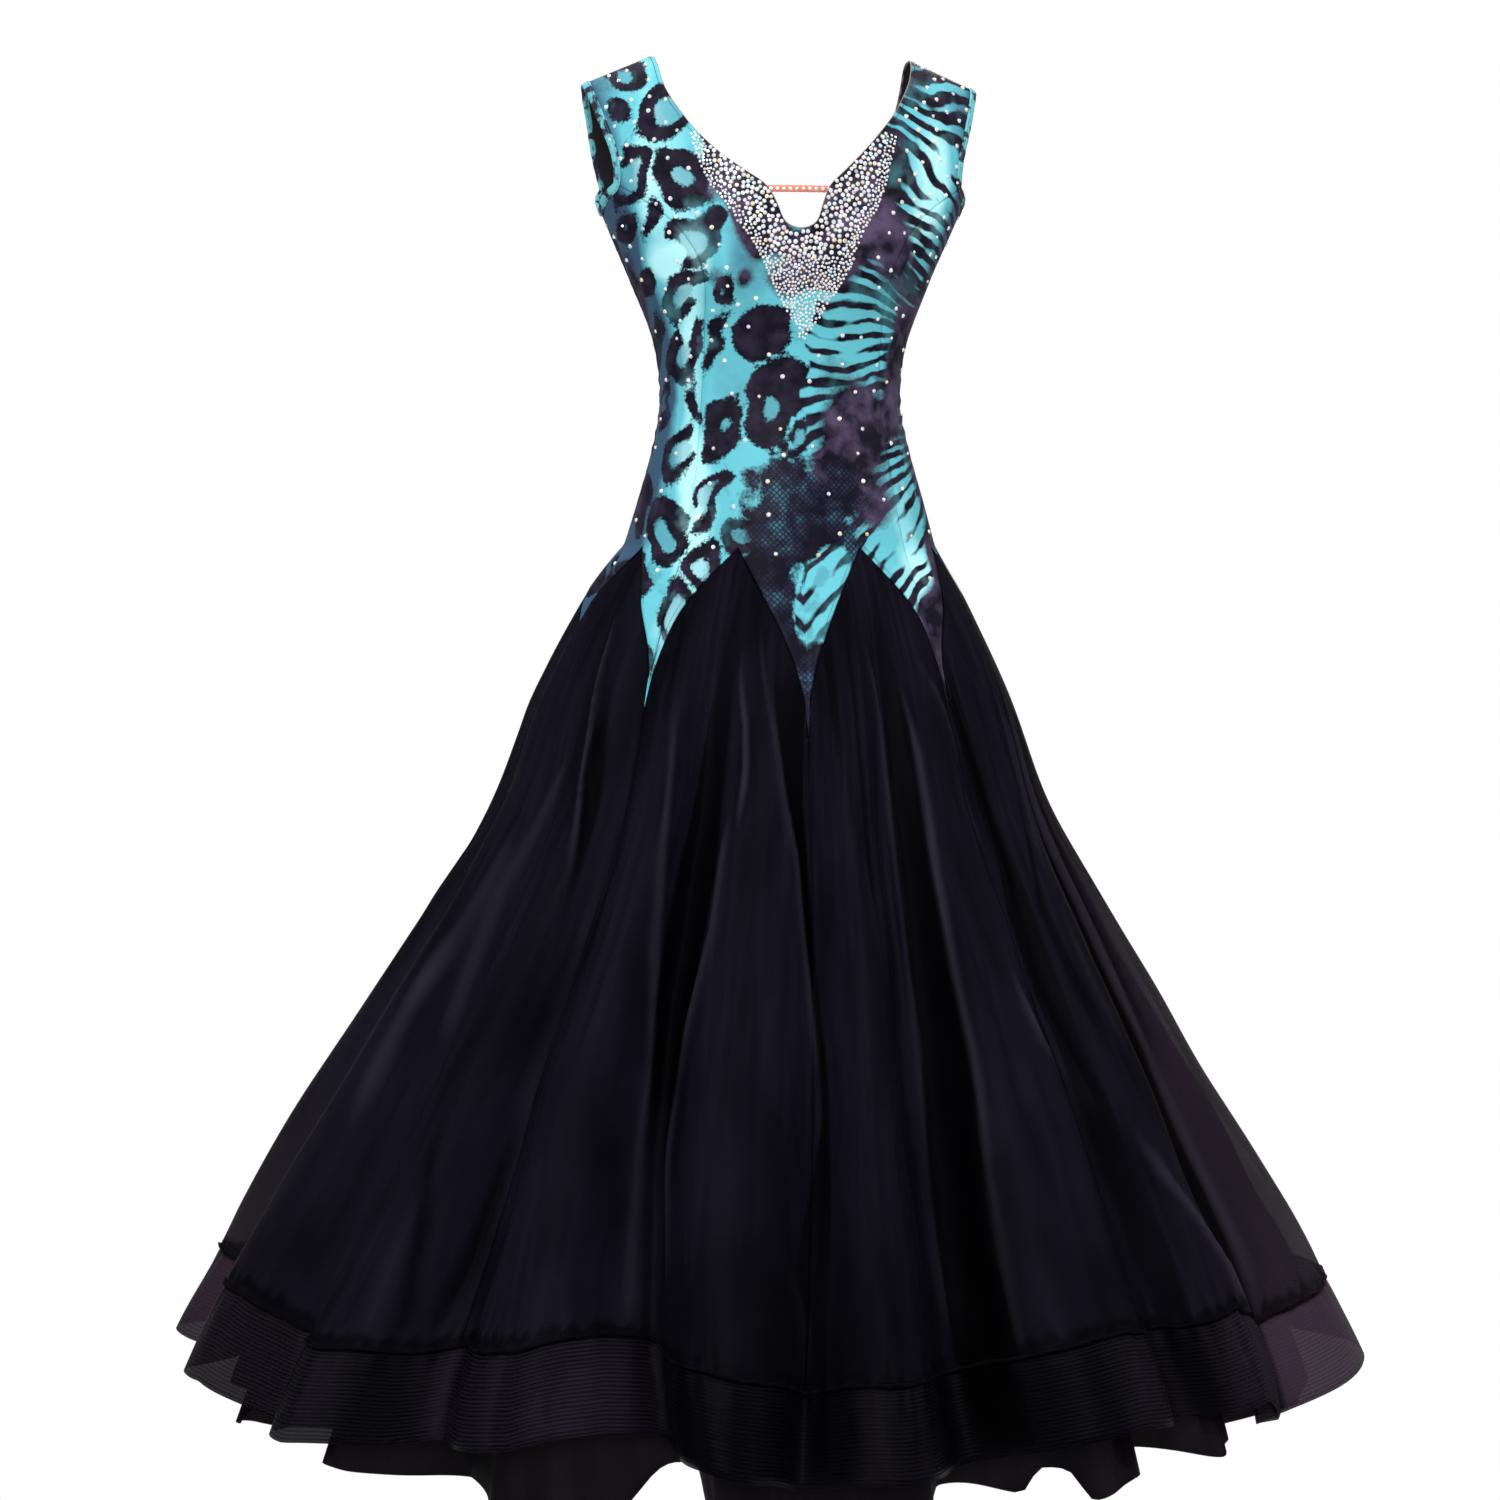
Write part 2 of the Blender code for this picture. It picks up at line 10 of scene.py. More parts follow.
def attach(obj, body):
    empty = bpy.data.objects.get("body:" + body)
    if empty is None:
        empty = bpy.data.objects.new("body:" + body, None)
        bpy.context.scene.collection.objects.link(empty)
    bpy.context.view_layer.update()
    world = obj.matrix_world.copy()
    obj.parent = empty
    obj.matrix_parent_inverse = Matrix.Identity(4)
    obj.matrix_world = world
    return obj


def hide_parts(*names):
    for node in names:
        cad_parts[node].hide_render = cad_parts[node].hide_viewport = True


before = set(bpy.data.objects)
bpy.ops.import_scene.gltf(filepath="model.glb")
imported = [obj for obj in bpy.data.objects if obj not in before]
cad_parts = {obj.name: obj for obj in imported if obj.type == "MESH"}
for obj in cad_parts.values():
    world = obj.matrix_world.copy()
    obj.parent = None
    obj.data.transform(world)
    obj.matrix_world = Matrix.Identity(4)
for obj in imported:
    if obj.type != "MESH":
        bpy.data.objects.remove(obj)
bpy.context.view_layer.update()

# ---------------------------------------------------------------------------
# Studio. A white room, a large soft lamp in front of the dress, one overhead
# and one weak one on each side. The dress hangs as if it was worn, so the pale
# floor lies well below its hem.
# ---------------------------------------------------------------------------
FLOOR_LEVEL, FLOOR_RADIUS = -2.3, 2.7
# The walls' light on the dress, and what is added where they are seen or mirrored.
WALL_LIGHT, SEEN_LIGHT, MIRRORED_LIGHT = 0.22, 0.78, 0.15
CAMERA_PLACE = (-0.5904, -3.3483, -0.375)
CAMERA_TILT = 85.065
CAMERA_TURN = -9.4945
CAMERA_LENS = 81.6

camera = bpy.data.objects.new("camera", bpy.data.cameras.new("camera"))
camera.data.lens = CAMERA_LENS
camera.data.sensor_width = 36
camera.data.sensor_fit = "HORIZONTAL"
camera.location = CAMERA_PLACE
camera.rotation_euler = (math.radians(CAMERA_TILT), 0, math.radians(CAMERA_TURN))
bpy.context.scene.collection.objects.link(camera)
bpy.context.scene.camera = camera
bpy.context.scene.view_settings.view_transform = "Standard"

room = bpy.data.worlds.new("room")
room.use_nodes = True
room_light = room.node_tree.nodes["Background"]
room_light.inputs["Color"].default_value = (1, 1, 1, 1)
bpy.context.scene.world = room
# The walls look white, and the lamps in front of them give most of the light.
ray = room.node_tree.nodes.new("ShaderNodeLightPath")
seen = room.node_tree.nodes.new("ShaderNodeMath")
seen.operation = "MULTIPLY_ADD"
seen.inputs[1].default_value = SEEN_LIGHT
seen.inputs[2].default_value = WALL_LIGHT
mirrored = room.node_tree.nodes.new("ShaderNodeMath")
mirrored.operation = "MULTIPLY_ADD"
mirrored.inputs[1].default_value = MIRRORED_LIGHT
room.node_tree.links.new(ray.outputs["Is Camera Ray"], seen.inputs[0])
room.node_tree.links.new(ray.outputs["Is Glossy Ray"], mirrored.inputs[0])
room.node_tree.links.new(seen.outputs[0], mirrored.inputs[2])
room.node_tree.links.new(mirrored.outputs[0], room_light.inputs["Strength"])

for name, place, aim, size, power in (
    ("front_lamp", (-0.9, -3.6, 0.9), (0, 0, -0.35), (1.1, 1.7), 100),
    ("left_lamp", (-3.0, -1.2, 0.5), (0, 0, -0.5), (0.5, 2.2), 20),
    ("right_lamp", (3.0, -1.4, 0.5), (0, 0, -0.5), (0.5, 2.2), 26),
    ("back_lamp", (0.9, 3.5, 0.9), (0, 0, -0.4), (1.3, 1.9), 80),
    ("top_lamp", (0, 0, 2.6), (0, 0, 0), (5.0, 5.0), 135),
):
    light = bpy.data.lights.new(name, "AREA")
    light.shape = "RECTANGLE"
    light.size, light.size_y = size
    light.energy = power
    lamp = bpy.data.objects.new(name, light)
    lamp.location = place
    lamp.rotation_euler = (Vector(place) - Vector(aim)).to_track_quat("Z", "Y").to_euler()
    bpy.context.scene.collection.objects.link(lamp)

floor_mesh = bmesh.new()
bmesh.ops.create_circle(floor_mesh, cap_ends=True, segments=96, radius=FLOOR_RADIUS)
bmesh.ops.translate(floor_mesh, verts=floor_mesh.verts, vec=(0, 0, FLOOR_LEVEL))
floor_data = bpy.data.meshes.new("floor")
floor_mesh.to_mesh(floor_data)
floor_mesh.free()
floor = bpy.data.objects.new("floor", floor_data)
bpy.context.scene.collection.objects.link(floor)
floor_paint = bpy.data.materials.new("floor_paint")
floor_paint.use_nodes = True
paint_inputs = floor_paint.node_tree.nodes["Principled BSDF"].inputs
paint_inputs["Base Color"].default_value = (0.9, 0.9, 0.9, 1)
paint_inputs["Roughness"].default_value = 0.9
floor_data.materials.append(floor_paint)

# ---------------------------------------------------------------------------
# Bodice. Seven panels of printed stretch cloth, cut along princess seams and
# down to long tongues between the godets, and sewn with flat seams. A thin
# black lining lies behind the print.
# ---------------------------------------------------------------------------
# Half width, front depth and back depth of the body at each level.
BODY = (
    (-0.462, 0.156, 0.115, 0.125), (-0.425, 0.145, 0.111, 0.119), (-0.37, 0.13, 0.102, 0.105),
    (-0.32, 0.12, 0.095, 0.092), (-0.265, 0.126, 0.098, 0.092), (-0.205, 0.148, 0.111, 0.098),
    (-0.157, 0.17, 0.116, 0.101), (-0.132, 0.181, 0.114, 0.102), (-0.112, 0.19, 0.112, 0.102),
    (-0.06, 0.198, 0.111, 0.102), (0.015, 0.201, 0.111, 0.102),
)
YOKE_LEVEL, YOKE_SPAN, YOKE_ROUNDING = -0.112, 0.127, 1.8
NECK_POINT_X, NECK_POINT_Z, SHOULDER_SLOPE = 0.1285, 0.016, 0.42
CUP_DEPTH, CUP_ANGLE, CUP_ANGLE_SPREAD, CUP_LEVEL, CUP_LEVEL_SPREAD = 0.021, 34, 19, -0.19, 0.042


def column(table, number):
    """The first column of a table with another one."""
    return [(row[0], row[number]) for row in table]


def smooth_line(points, at):
    """The height of a smooth curve through (place, height) points, at many places."""
    keys, values = np.array(sorted(points), float).T
    last = len(keys) - 1
    order = np.arange(last + 1)
    before, after = np.maximum(order - 1, 0), np.minimum(order + 1, last)
    slopes = (values[after] - values[before]) / (keys[after] - keys[before])
    at = np.clip(at, keys[0], keys[last])
    left = np.clip(np.searchsorted(keys, at, side="right") - 1, 0, last - 1)
    step = keys[left + 1] - keys[left]
    share = (at - keys[left]) / step
    value = values[left] + (values[left + 1] - values[left]) * share * share * (3 - 2 * share)
    value = value + share * (1 - share) ** 2 * step * slopes[left]
    return value + share * share * (share - 1) * step * slopes[left + 1]


def at_level(table, number, level):
    """A column of a table of levels, at many levels."""
    return smooth_line(column(table, number), level)


def ridge_height(x):
    """Height of the shoulder seam."""
    return NECK_POINT_Z - SHOULDER_SLOPE * (np.abs(x) - NECK_POINT_X)


def body_form(angle, level):
    """Points of the bodice. Levels past the shoulder come down on the other side."""
    turn = np.radians(angle)
    front = np.cos(turn) > 0
    depth = np.where(front, at_level(BODY, 2, level), at_level(BODY, 3, level))
    sideways = (np.abs(angle) - CUP_ANGLE) / CUP_ANGLE_SPREAD
    upwards = (level - CUP_LEVEL) / CUP_LEVEL_SPREAD
    depth = depth + CUP_DEPTH * np.exp(-sideways * sideways - upwards * upwards)
    x = at_level(BODY, 1, level) * np.sin(turn)
    y = -depth * np.cos(turn)
    over = np.clip((level - YOKE_LEVEL) / YOKE_SPAN, 0, 2)
    y = np.where(over > 1, -y, y)
    over = np.where(over > 1, 2 - over, over)
    height = YOKE_LEVEL + (ridge_height(x) - YOKE_LEVEL) * over
    y = y * np.sqrt(1 - over**YOKE_ROUNDING)
    return np.stack([x, y, np.where(level <= YOKE_LEVEL, level, height)], -1)


# The skirt's outline, and the folds that its cloth hangs in. Each fold line
# has its angle at the hip and at the hem, its bow sideways, its depth, the
# level it starts at, its lift at the hem and the swell of the flute after it.
SKIRT = (
    (-0.462, 0.156, 0.115, 0.125), (-0.525, 0.193, 0.145, 0.154), (-0.605, 0.232, 0.182, 0.19),
    (-0.725, 0.28, 0.226, 0.234), (-0.845, 0.351, 0.279, 0.289), (-0.965, 0.425, 0.336, 0.346),
    (-1.085, 0.496, 0.39, 0.4), (-1.19, 0.557, 0.44, 0.45), (-1.265, 0.596, 0.472, 0.482),
    (-1.34, 0.63, 0.502, 0.512),
)
FOLDS = np.array((
    (-180.0, -183.0, 0.0, 0.075, -0.462, 0.000, 0.004),
    (-157.5, -160.0, 2.0, 0.060, -0.55, 0.006, 0.000),
    (-135.0, -139.0, 0.0, 0.080, -0.462, 0.000, 0.008),
    (-112.5, -112.0, -2.0, 0.055, -0.56, 0.014, 0.020),
    (-90.0, -90.0, 0.0, 0.050, -0.462, 0.012, 0.016),
    (-67.5, -66.0, 2.0, 0.055, -0.58, 0.004, 0.004),
    (-45.0, -46.5, 0.0, 0.080, -0.462, 0.018, 0.000),
    (-22.5, -22.0, -4.0, 0.100, -0.49, 0.020, 0.000),
    (0.0, -5.0, 0.5, 0.080, -0.462, 0.000, 0.000),
    (22.5, 12.0, -3.0, 0.110, -0.52, 0.008, 0.000),
    (45.0, 39.0, -1.0, 0.090, -0.462, 0.014, 0.000),
    (67.5, 49.0, -2.0, 0.045, -0.60, -0.012, -0.004),
    (90.0, 93.0, 0.0, 0.060, -0.462, -0.004, 0.000),
    (112.5, 109.0, 2.0, 0.060, -0.55, 0.004, 0.000),
    (135.0, 131.0, 0.0, 0.080, -0.462, 0.000, 0.006),
    (157.5, 154.0, -2.0, 0.065, -0.56, 0.006, 0.000),
    (180.0, 177.0, 0.0, 0.075, -0.462, 0.000, 0.004),
))
FLUTE_ANGLE = 22.5
FOLD_GROWTH_POWER, FLUTE_ROUNDING, SWELL_START = 0.9, 1.35, 0.08
PEAK_LEVEL, HIP_LEVEL, HEM_SEAM_LEVEL = -0.462, -0.447, -1.19


def flute_place(angle):
    """The fold lines on both sides of each angle, and how far it lies between them."""
    turned = np.mod(angle + 180, 360) / FLUTE_ANGLE
    index = np.minimum(turned.astype(int), len(FOLDS) - 2)
    return FOLDS[index].T, FOLDS[index + 1].T, turned - index


def fold_recess(angle, level):
    """How far the cloth lies inside the skirt's outline because of the folds."""
    before, after, share = flute_place(angle)
    depth = np.where(share < 0.5, before[3], after[3])
    start = np.where(share < 0.5, before[4], after[4])
    grown = np.maximum((start - level) / (start - HEM_SEAM_LEVEL), 0) ** FOLD_GROWTH_POWER
    return depth * grown * (1 - np.cos(np.pi * np.abs(1 - 2 * share) ** FLUTE_ROUNDING)) / 2


def skirt_form(angle, level):
    """Points of the skirt's cloth, in its folds."""
    before, after, share = flute_place(angle)
    drift = (before[1] - before[0]) * (1 - share) + (after[1] - after[0]) * share
    bow = before[2] * (1 - share) + after[2] * share
    fallen = (PEAK_LEVEL - level) / (PEAK_LEVEL - HEM_SEAM_LEVEL)
    turn = np.radians(angle + drift * fallen + bow * 4 * fallen * (1 - fallen))
    width = at_level(SKIRT, 1, level)
    depth = np.where(np.cos(turn) > 0, at_level(SKIRT, 2, level), at_level(SKIRT, 3, level))
    swollen = before[6] * np.sin(np.pi * share) ** 2 * fallen / (fallen + SWELL_START)
    reach = 1 + (swollen - fold_recess(angle, level)) / width
    return np.stack([width * reach * np.sin(turn), -depth * reach * np.cos(turn), level], -1)


def dress_form(angle, level):
    """Points of the dress: skirt below the godets' peaks and body above them."""
    skirt = skirt_form(angle, np.minimum(level, PEAK_LEVEL))
    return np.where((level < PEAK_LEVEL)[:, None], skirt, body_form(angle, level))


STEP_AROUND, STEP_UP = 0.2, 0.0005


def outward(form, angle, level):
    """Outward directions of a form's surface, from points a short step to each side."""
    across = form(angle + STEP_AROUND, level) - form(angle - STEP_AROUND, level)
    up = form(angle, level + STEP_UP) - form(angle, level - STEP_UP)
    normal = np.cross(across, up)
    return normal / np.linalg.norm(normal, axis=1)[:, None]


GODET_ANGLE = 45.0
TONGUE_LENGTH, FRONT_TONGUE_LENGTH, ARCH_POWER = 0.152, 0.185, 1 / 2.2


def edge_level(angle):
    """Level of the seam between bodice and godets: arches with long tongues between."""
    tongue = np.round(angle / GODET_ANGLE)
    length = np.where(tongue == 0, FRONT_TONGUE_LENGTH, TONGUE_LENGTH)
    from_tongue = np.abs(angle - tongue * GODET_ANGLE) / (GODET_ANGLE / 2)
    return PEAK_LEVEL - length * (1 - np.clip(from_tongue, 0, 1) ** ARCH_POWER)


# Seams and edges: the angle from the centre front or back at each level.
FRONT_PRINCESS_SEAM = (
    (-0.447, 45), (-0.39, 46), (-0.32, 48), (-0.265, 44), (-0.205, 38.5), (-0.157, 43),
    (-0.132, 52), (-0.112, 64),
)
BACK_PRINCESS_SEAM = (
    (-0.447, 45), (-0.32, 45), (-0.205, 44), (-0.157, 47), (-0.132, 55), (-0.112, 66),
)
FRONT_ARMHOLE = (
    (-0.112, 64), (-0.085, 62.5), (-0.06, 64.5), (-0.03, 69), (-0.008, 73), (0.015, 78.5),
)
BACK_ARMHOLE = (
    (-0.112, 66), (-0.085, 67.5), (-0.06, 69), (-0.03, 71.5), (-0.008, 75), (0.015, 78.5),
)
SIDE_SEAM_ANGLE = 90.0
# Necklines: the distance from the centre line at each height, right and left.
FRONT_NECKLINE = (
    (-0.157, 0.0111, 0.0111), (-0.147, 0.018, 0.0175), (-0.132, 0.0235, 0.0225),
    (-0.115, 0.034, 0.03), (-0.105, 0.049, 0.0405), (-0.085, 0.0765, 0.0615),
    (-0.063, 0.0985, 0.082), (-0.044, 0.1115, 0.098), (-0.027, 0.121, 0.109),
    (-0.011, 0.126, 0.118), (0.016, 0.1285, 0.1285),
)
BACK_NECKLINE = (
    (-0.2, 0, 0), (-0.172, 0.045, 0.045), (-0.137, 0.083, 0.083), (-0.1, 0.105, 0.105),
    (-0.065, 0.119, 0.119), (-0.035, 0.127, 0.127), (-0.008, 0.13, 0.13), (0.016, 0.1285, 0.1285),
)
FRONT_NOTCH_LEVEL, BACK_NECK_LEVEL, NOTCH_ROUNDING = -0.157, -0.20, 0.006
# Levels of the cloth's rows from the hip up, at the centre and at the side.
CENTRE_ROWS = (
    -0.447, -0.408, -0.366, -0.320, -0.278, -0.238, -0.200, -0.174, -0.157, -0.147, -0.132, -0.112,
)
SIDE_ROWS = (
    -0.447, -0.408, -0.366, -0.320, -0.280, -0.244, -0.210, -0.189, -0.176, -0.166, -0.154, -0.135,
)
YOKE_SHARES = (0.15, 0.3, 0.46, 0.62, 0.77, 0.89, 0.97, 1.0)
YOKE_ROWS = tuple(YOKE_LEVEL + YOKE_SPAN * share for share in YOKE_SHARES)
TONGUE_ROWS, FINE_ROWS, PANEL_COLUMNS = 4, 6, 66
NECK_ROUNDS = 30


def neck_angle(neckline, side, level):
    """Angle of a neckline at each level, found in rounds: height and width need each other."""
    line = column(neckline, 2 if side > 0 else 1)
    over = np.clip((level - YOKE_LEVEL) / YOKE_SPAN, 0, 1)
    x = np.full_like(level, NECK_POINT_X)
    for _ in range(NECK_ROUNDS):
        height = np.where(over > 0, YOKE_LEVEL + (ridge_height(x) - YOKE_LEVEL) * over, level)
        x = (x + smooth_line(line, height)) / 2
    return np.degrees(np.arcsin(x / at_level(BODY, 1, level)))


def neck_opening(level, start):
    """How far a neckline's rounded lower end is open at each level, from 0 to 1."""
    rise = np.clip((level - start) / NOTCH_ROUNDING, 0, 1)
    return np.sqrt(1 - (1 - rise) ** 2)


def panel_rows(up, angle_below, centre_rows, side_rows, across):
    """Levels of a panel's rows: down its tongues below the hip, and its body above it."""
    row = up * (TONGUE_ROWS + len(centre_rows) - 1)
    low = edge_level(angle_below)
    tongue = low + (HIP_LEVEL - low) * np.clip(row / TONGUE_ROWS, 0, 1)
    numbers = np.arange(len(centre_rows))
    centre = np.interp(row - TONGUE_ROWS, numbers, centre_rows)
    side = np.interp(row - TONGUE_ROWS, numbers, side_rows)
    return np.where(row < TONGUE_ROWS, tongue, centre + (side - centre) * across), centre


def centre_panel(side, back):
    """Where a centre half panel's shares across and up lie, as angles and levels."""
    if back:
        princess, armhole = BACK_PRINCESS_SEAM, BACK_ARMHOLE
        neckline, start = BACK_NECKLINE, BACK_NECK_LEVEL
    else:
        princess, armhole = FRONT_PRINCESS_SEAM, FRONT_ARMHOLE
        neckline, start = FRONT_NECKLINE, FRONT_NOTCH_LEVEL
    rows = CENTRE_ROWS + YOKE_ROWS

    def place(across, up):
        level, _ = panel_rows(up, GODET_ANGLE * across, rows, rows, across)
        outer = np.where(
            level <= YOKE_LEVEL, smooth_line(princess, level), smooth_line(armhole, level)
        )
        outer = np.where(level < HIP_LEVEL, GODET_ANGLE, outer)
        inner = neck_angle(neckline, side, np.maximum(level, start)) * neck_opening(level, start)
        inner = np.where(level > start, inner, 0)
        return inner + (outer - inner) * across, level

    return place


def side_panel(_, back):
    """Where a side panel's shares across and up lie. Both sides are alike."""
    princess = BACK_PRINCESS_SEAM if back else FRONT_PRINCESS_SEAM

    def place(across, up):
        below = GODET_ANGLE + GODET_ANGLE * across
        level, centre = panel_rows(up, below, CENTRE_ROWS, SIDE_ROWS, across)
        start = smooth_line(princess, centre)
        angle = start + (SIDE_SEAM_ANGLE - start) * across
        return np.where(level < HIP_LEVEL, below, angle), level

    return place


# The print, in metres across and up the cloth from the centre front at the
# shoulder. On the wearer's right it has spots: the middle of each, its half
# width and height, the share of its pale heart and the side of its gap, as a
# share of a turn. Bare places keep other spots away.
SPOTS = (
    (-0.163, 0.004, 0.026, 0.018, 0.35, -1), (-0.128, -0.046, 0.028, 0.031, 0.45, -1),
    (-0.176, -0.03, 0.011, 0.012, 0, -1), (-0.166, -0.1, 0.021, 0.038, 0.5, 0.48),
    (-0.114, -0.112, 0.027, 0.029, 0.34, -1), (-0.148, -0.146, 0.009, 0.026, 0, -1),
    (-0.104, -0.162, 0.028, 0.027, 0.45, 0.62), (-0.184, -0.152, 0.02, 0.012, 0, -1),
    (-0.165, -0.206, 0.013, 0.013, 0, -1), (-0.116, -0.219, 0.024, 0.026, 0.42, 0.02),
    (-0.076, -0.216, 0.01, 0.014, 0, -1), (-0.117, -0.274, 0.025, 0.03, 0.34, 0.27),
    (-0.081, -0.266, 0.011, 0.033, 0, -1), (-0.038, -0.254, 0.031, 0.025, 0, -1),
    (-0.027, -0.325, 0.033, 0.042, 0.24, -1), (-0.071, -0.348, 0.024, 0.033, 0.18, -1),
    (-0.103, -0.327, 0.009, 0.022, 0, -1), (-0.122, -0.374, 0.019, 0.03, 0.56, 0.15),
    (-0.091, -0.419, 0.017, 0.034, 0.5, 0.6), (-0.137, -0.45, 0.027, 0.034, 0.42, -1),
    (-0.094, -0.482, 0.018, 0.027, 0.26, -1), (-0.116, -0.524, 0.021, 0.034, 0.5, -1),
    (-0.178, -0.42, 0.016, 0.034, 0, -1), (-0.152, -0.328, 0.013, 0.025, 0.4, 0.5),
    (-0.16, -0.262, 0.012, 0.026, 0, -1), (-0.098, -0.572, 0.012, 0.02, 0, -1),
)
BARE_PLACES = (
    (-0.084, -0.112), (-0.06, -0.19), (-0.03, -0.2), (0, -0.24), (0.012, -0.29), (-0.046, -0.4),
    (-0.06, -0.3),
)
SPOT_PITCH, SPOT_CHANNEL, SPOT_SQUARENESS, SPOT_LEAN = 0.046, 0.0024, 2.5, 0.35
GAP_WIDTH, HEART_SHIFT, NO_GAP = 0.42, 0.12, 0.06
SPOT_FIELD_HEIGHT, SPOTS_ACROSS, SPOT_JITTER, SPOT_CLEARANCE = 0.75, 24, 0.009, 0.84
# On the wearer's left it has stripes: how they slope at each level, and how
# many of them there are between one level and the next.
STRIPE_SLOPES = (
    (-0.66, -1.1), (-0.5, -0.95), (-0.41, -0.7), (-0.34, -0.2), (-0.27, 0.02), (-0.2, 0.36),
    (-0.12, 0.46), (-0.06, 0.12), (0.02, 0),
)
STRIPE_COUNTS = (
    (-0.9, -35), (-0.6, -23.5), (-0.42, -15.6), (-0.33, -10.8), (-0.24, -4.4), (-0.12, 4.6),
    (0, 13), (0.1, 19),
)
# How far across the stripes begin at each level, and how soft that border is.
PRINT_BORDER = (
    (-0.7, -0.004), (-0.525, -0.008), (-0.475, 0.008), (-0.445, 0.03), (-0.36, 0.012),
    (-0.26, 0.006), (-0.15, 0.02), (0.02, 0.03),
)
BORDER_SOFTNESS = 0.006
# How far the print's lines are bent, how much deeper its ground is at the side
# seams, partly the print's own darker ground and partly painted shade, and how far from them.
PRINT_BEND, SIDE_SHADE_AND_TONE, SIDE_REACH = 0.0052, 1.7, 0.042
# Scales cover the front's lower end: their middle and half width across, the
# level they thin out above and how fast, and the places left bare in them.
SCALES_MIDDLE, SCALES_REACH, SCALES_TOP, SCALES_FADE = 0.004, 0.066, -0.43, 0.060
SCALE_GAPS = (
    (0.03, -0.48, 0.017, 0.02, 1.4), (0.012, -0.505, 0.017, 0.02, 1.4),
    (0.006, -0.53, 0.017, 0.02, 1.4),
)
# Where the stripes' ground shows more, or less: place, reach and strength.
OPEN_GROUND = (
    (0.148, -0.11, 0.028, 0.055, 1.1), (0.1, -0.005, 0.06, 0.032, -1.3),
    (0.05, -0.262, 0.045, 0.035, 1), (0.112, -0.455, 0.04, 0.034, 1.7),
    (0.15, -0.39, 0.04, 0.06, 0.3), (0.085, -0.11, 0.026, 0.06, -1.2),
    (0.145, -0.575, 0.04, 0.045, -1.6), (0.135, -0.265, 0.03, 0.075, -1.5),
    (0.012, -0.52, 0.024, 0.045, 0.8), (0.022, -0.48, 0.02, 0.02, 1),
)
# Dark clouds in the print: place, reach across and up, and strength.
CLOUDS = (
    (0.098, -0.172, 0.024, 0.036, 1.25), (0.062, -0.345, 0.042, 0.046, 1.5),
    (0.122, -0.29, 0.02, 0.075, 1.2), (0.08, -0.425, 0.035, 0.03, 0.85),
    (0.072, -0.11, 0.02, 0.045, 1.3), (0.045, -0.165, 0.026, 0.032, 1.2),
    (0, -0.172, 0.03, 0.018, 1), (-0.012, -0.212, 0.022, 0.022, 0.58),
    (-0.034, -0.156, 0.017, 0.022, 1), (-0.068, -0.112, 0.013, 0.024, 1),
    (-0.056, -0.205, 0.009, 0.012, 0.75), (-0.058, -0.15, 0.01, 0.03, 0.85),
    (0.03, -0.195, 0.022, 0.02, 0.8), (-0.022, -0.47, 0.035, 0.035, 0.5),
    (-0.052, -0.13, 0.015, 0.02, 1), (-0.082, -0.092, 0.012, 0.02, 1),
    (-0.044, -0.176, 0.01, 0.016, 0.8), (-0.084, -0.204, 0.012, 0.018, 0.7),
    (-0.088, -0.128, 0.007, 0.012, 0.65), (-0.064, -0.098, 0.02, 0.018, 1.2),
    (-0.046, -0.12, 0.017, 0.018, 1.3), (-0.03, -0.14, 0.016, 0.02, 1.2),
    (0.052, -0.098, 0.018, 0.02, 1.2), (0.036, -0.122, 0.016, 0.018, 1.3),
    (0.026, -0.146, 0.014, 0.018, 1.2), (0.255, -0.19, 0.03, 0.045, 1.1),
    (0.3, -0.345, 0.045, 0.035, 1.2), (-0.275, -0.395, 0.04, 0.05, 1.1),
    (-0.29, -0.18, 0.026, 0.04, 1), (0.36, -0.45, 0.04, 0.04, 1.1), (-0.385, -0.48, 0.03, 0.04, 1),
    (0.19, -0.3, 0.03, 0.06, 0.8), (-0.195, -0.3, 0.022, 0.09, 0.9),
    (-0.205, -0.41, 0.03, 0.06, 0.8), (-0.19, -0.25, 0.02, 0.1, 0.8),
    (0.165, -0.25, 0.026, 0.06, 0.9), (0.17, -0.44, 0.03, 0.06, 0.5),
    (0.03, -0.4, 0.035, 0.03, 0.9), (0.152, -0.53, 0.022, 0.03, 1.6),
    (0.13, -0.56, 0.04, 0.03, 1.7), (0, -0.6, 0.04, 0.03, 1.6), (0.16, -0.48, 0.012, 0.03, 1),
    (-0.002, -0.205, 0.05, 0.012, 0.6),
)
# Where the dark shapes are washed out, or kept crisp where the strength is below 0.
WASHES = (
    (-0.104, -0.165, 0.028, 0.03, 0.18), (0.105, -0.205, 0.026, 0.045, 0.25),
    (-0.15, -0.106, 0.055, 0.04, -0.3), (-0.03, -0.325, 0.04, 0.06, -0.3),
    (-0.038, -0.254, 0.035, 0.03, -0.3), (-0.071, -0.35, 0.026, 0.035, -0.3),
    (0.14, -0.3, 0.02, 0.06, 0.2), (0.03, -0.52, 0.03, 0.04, 0.2),
    (-0.128, -0.046, 0.03, 0.032, -0.25),
)
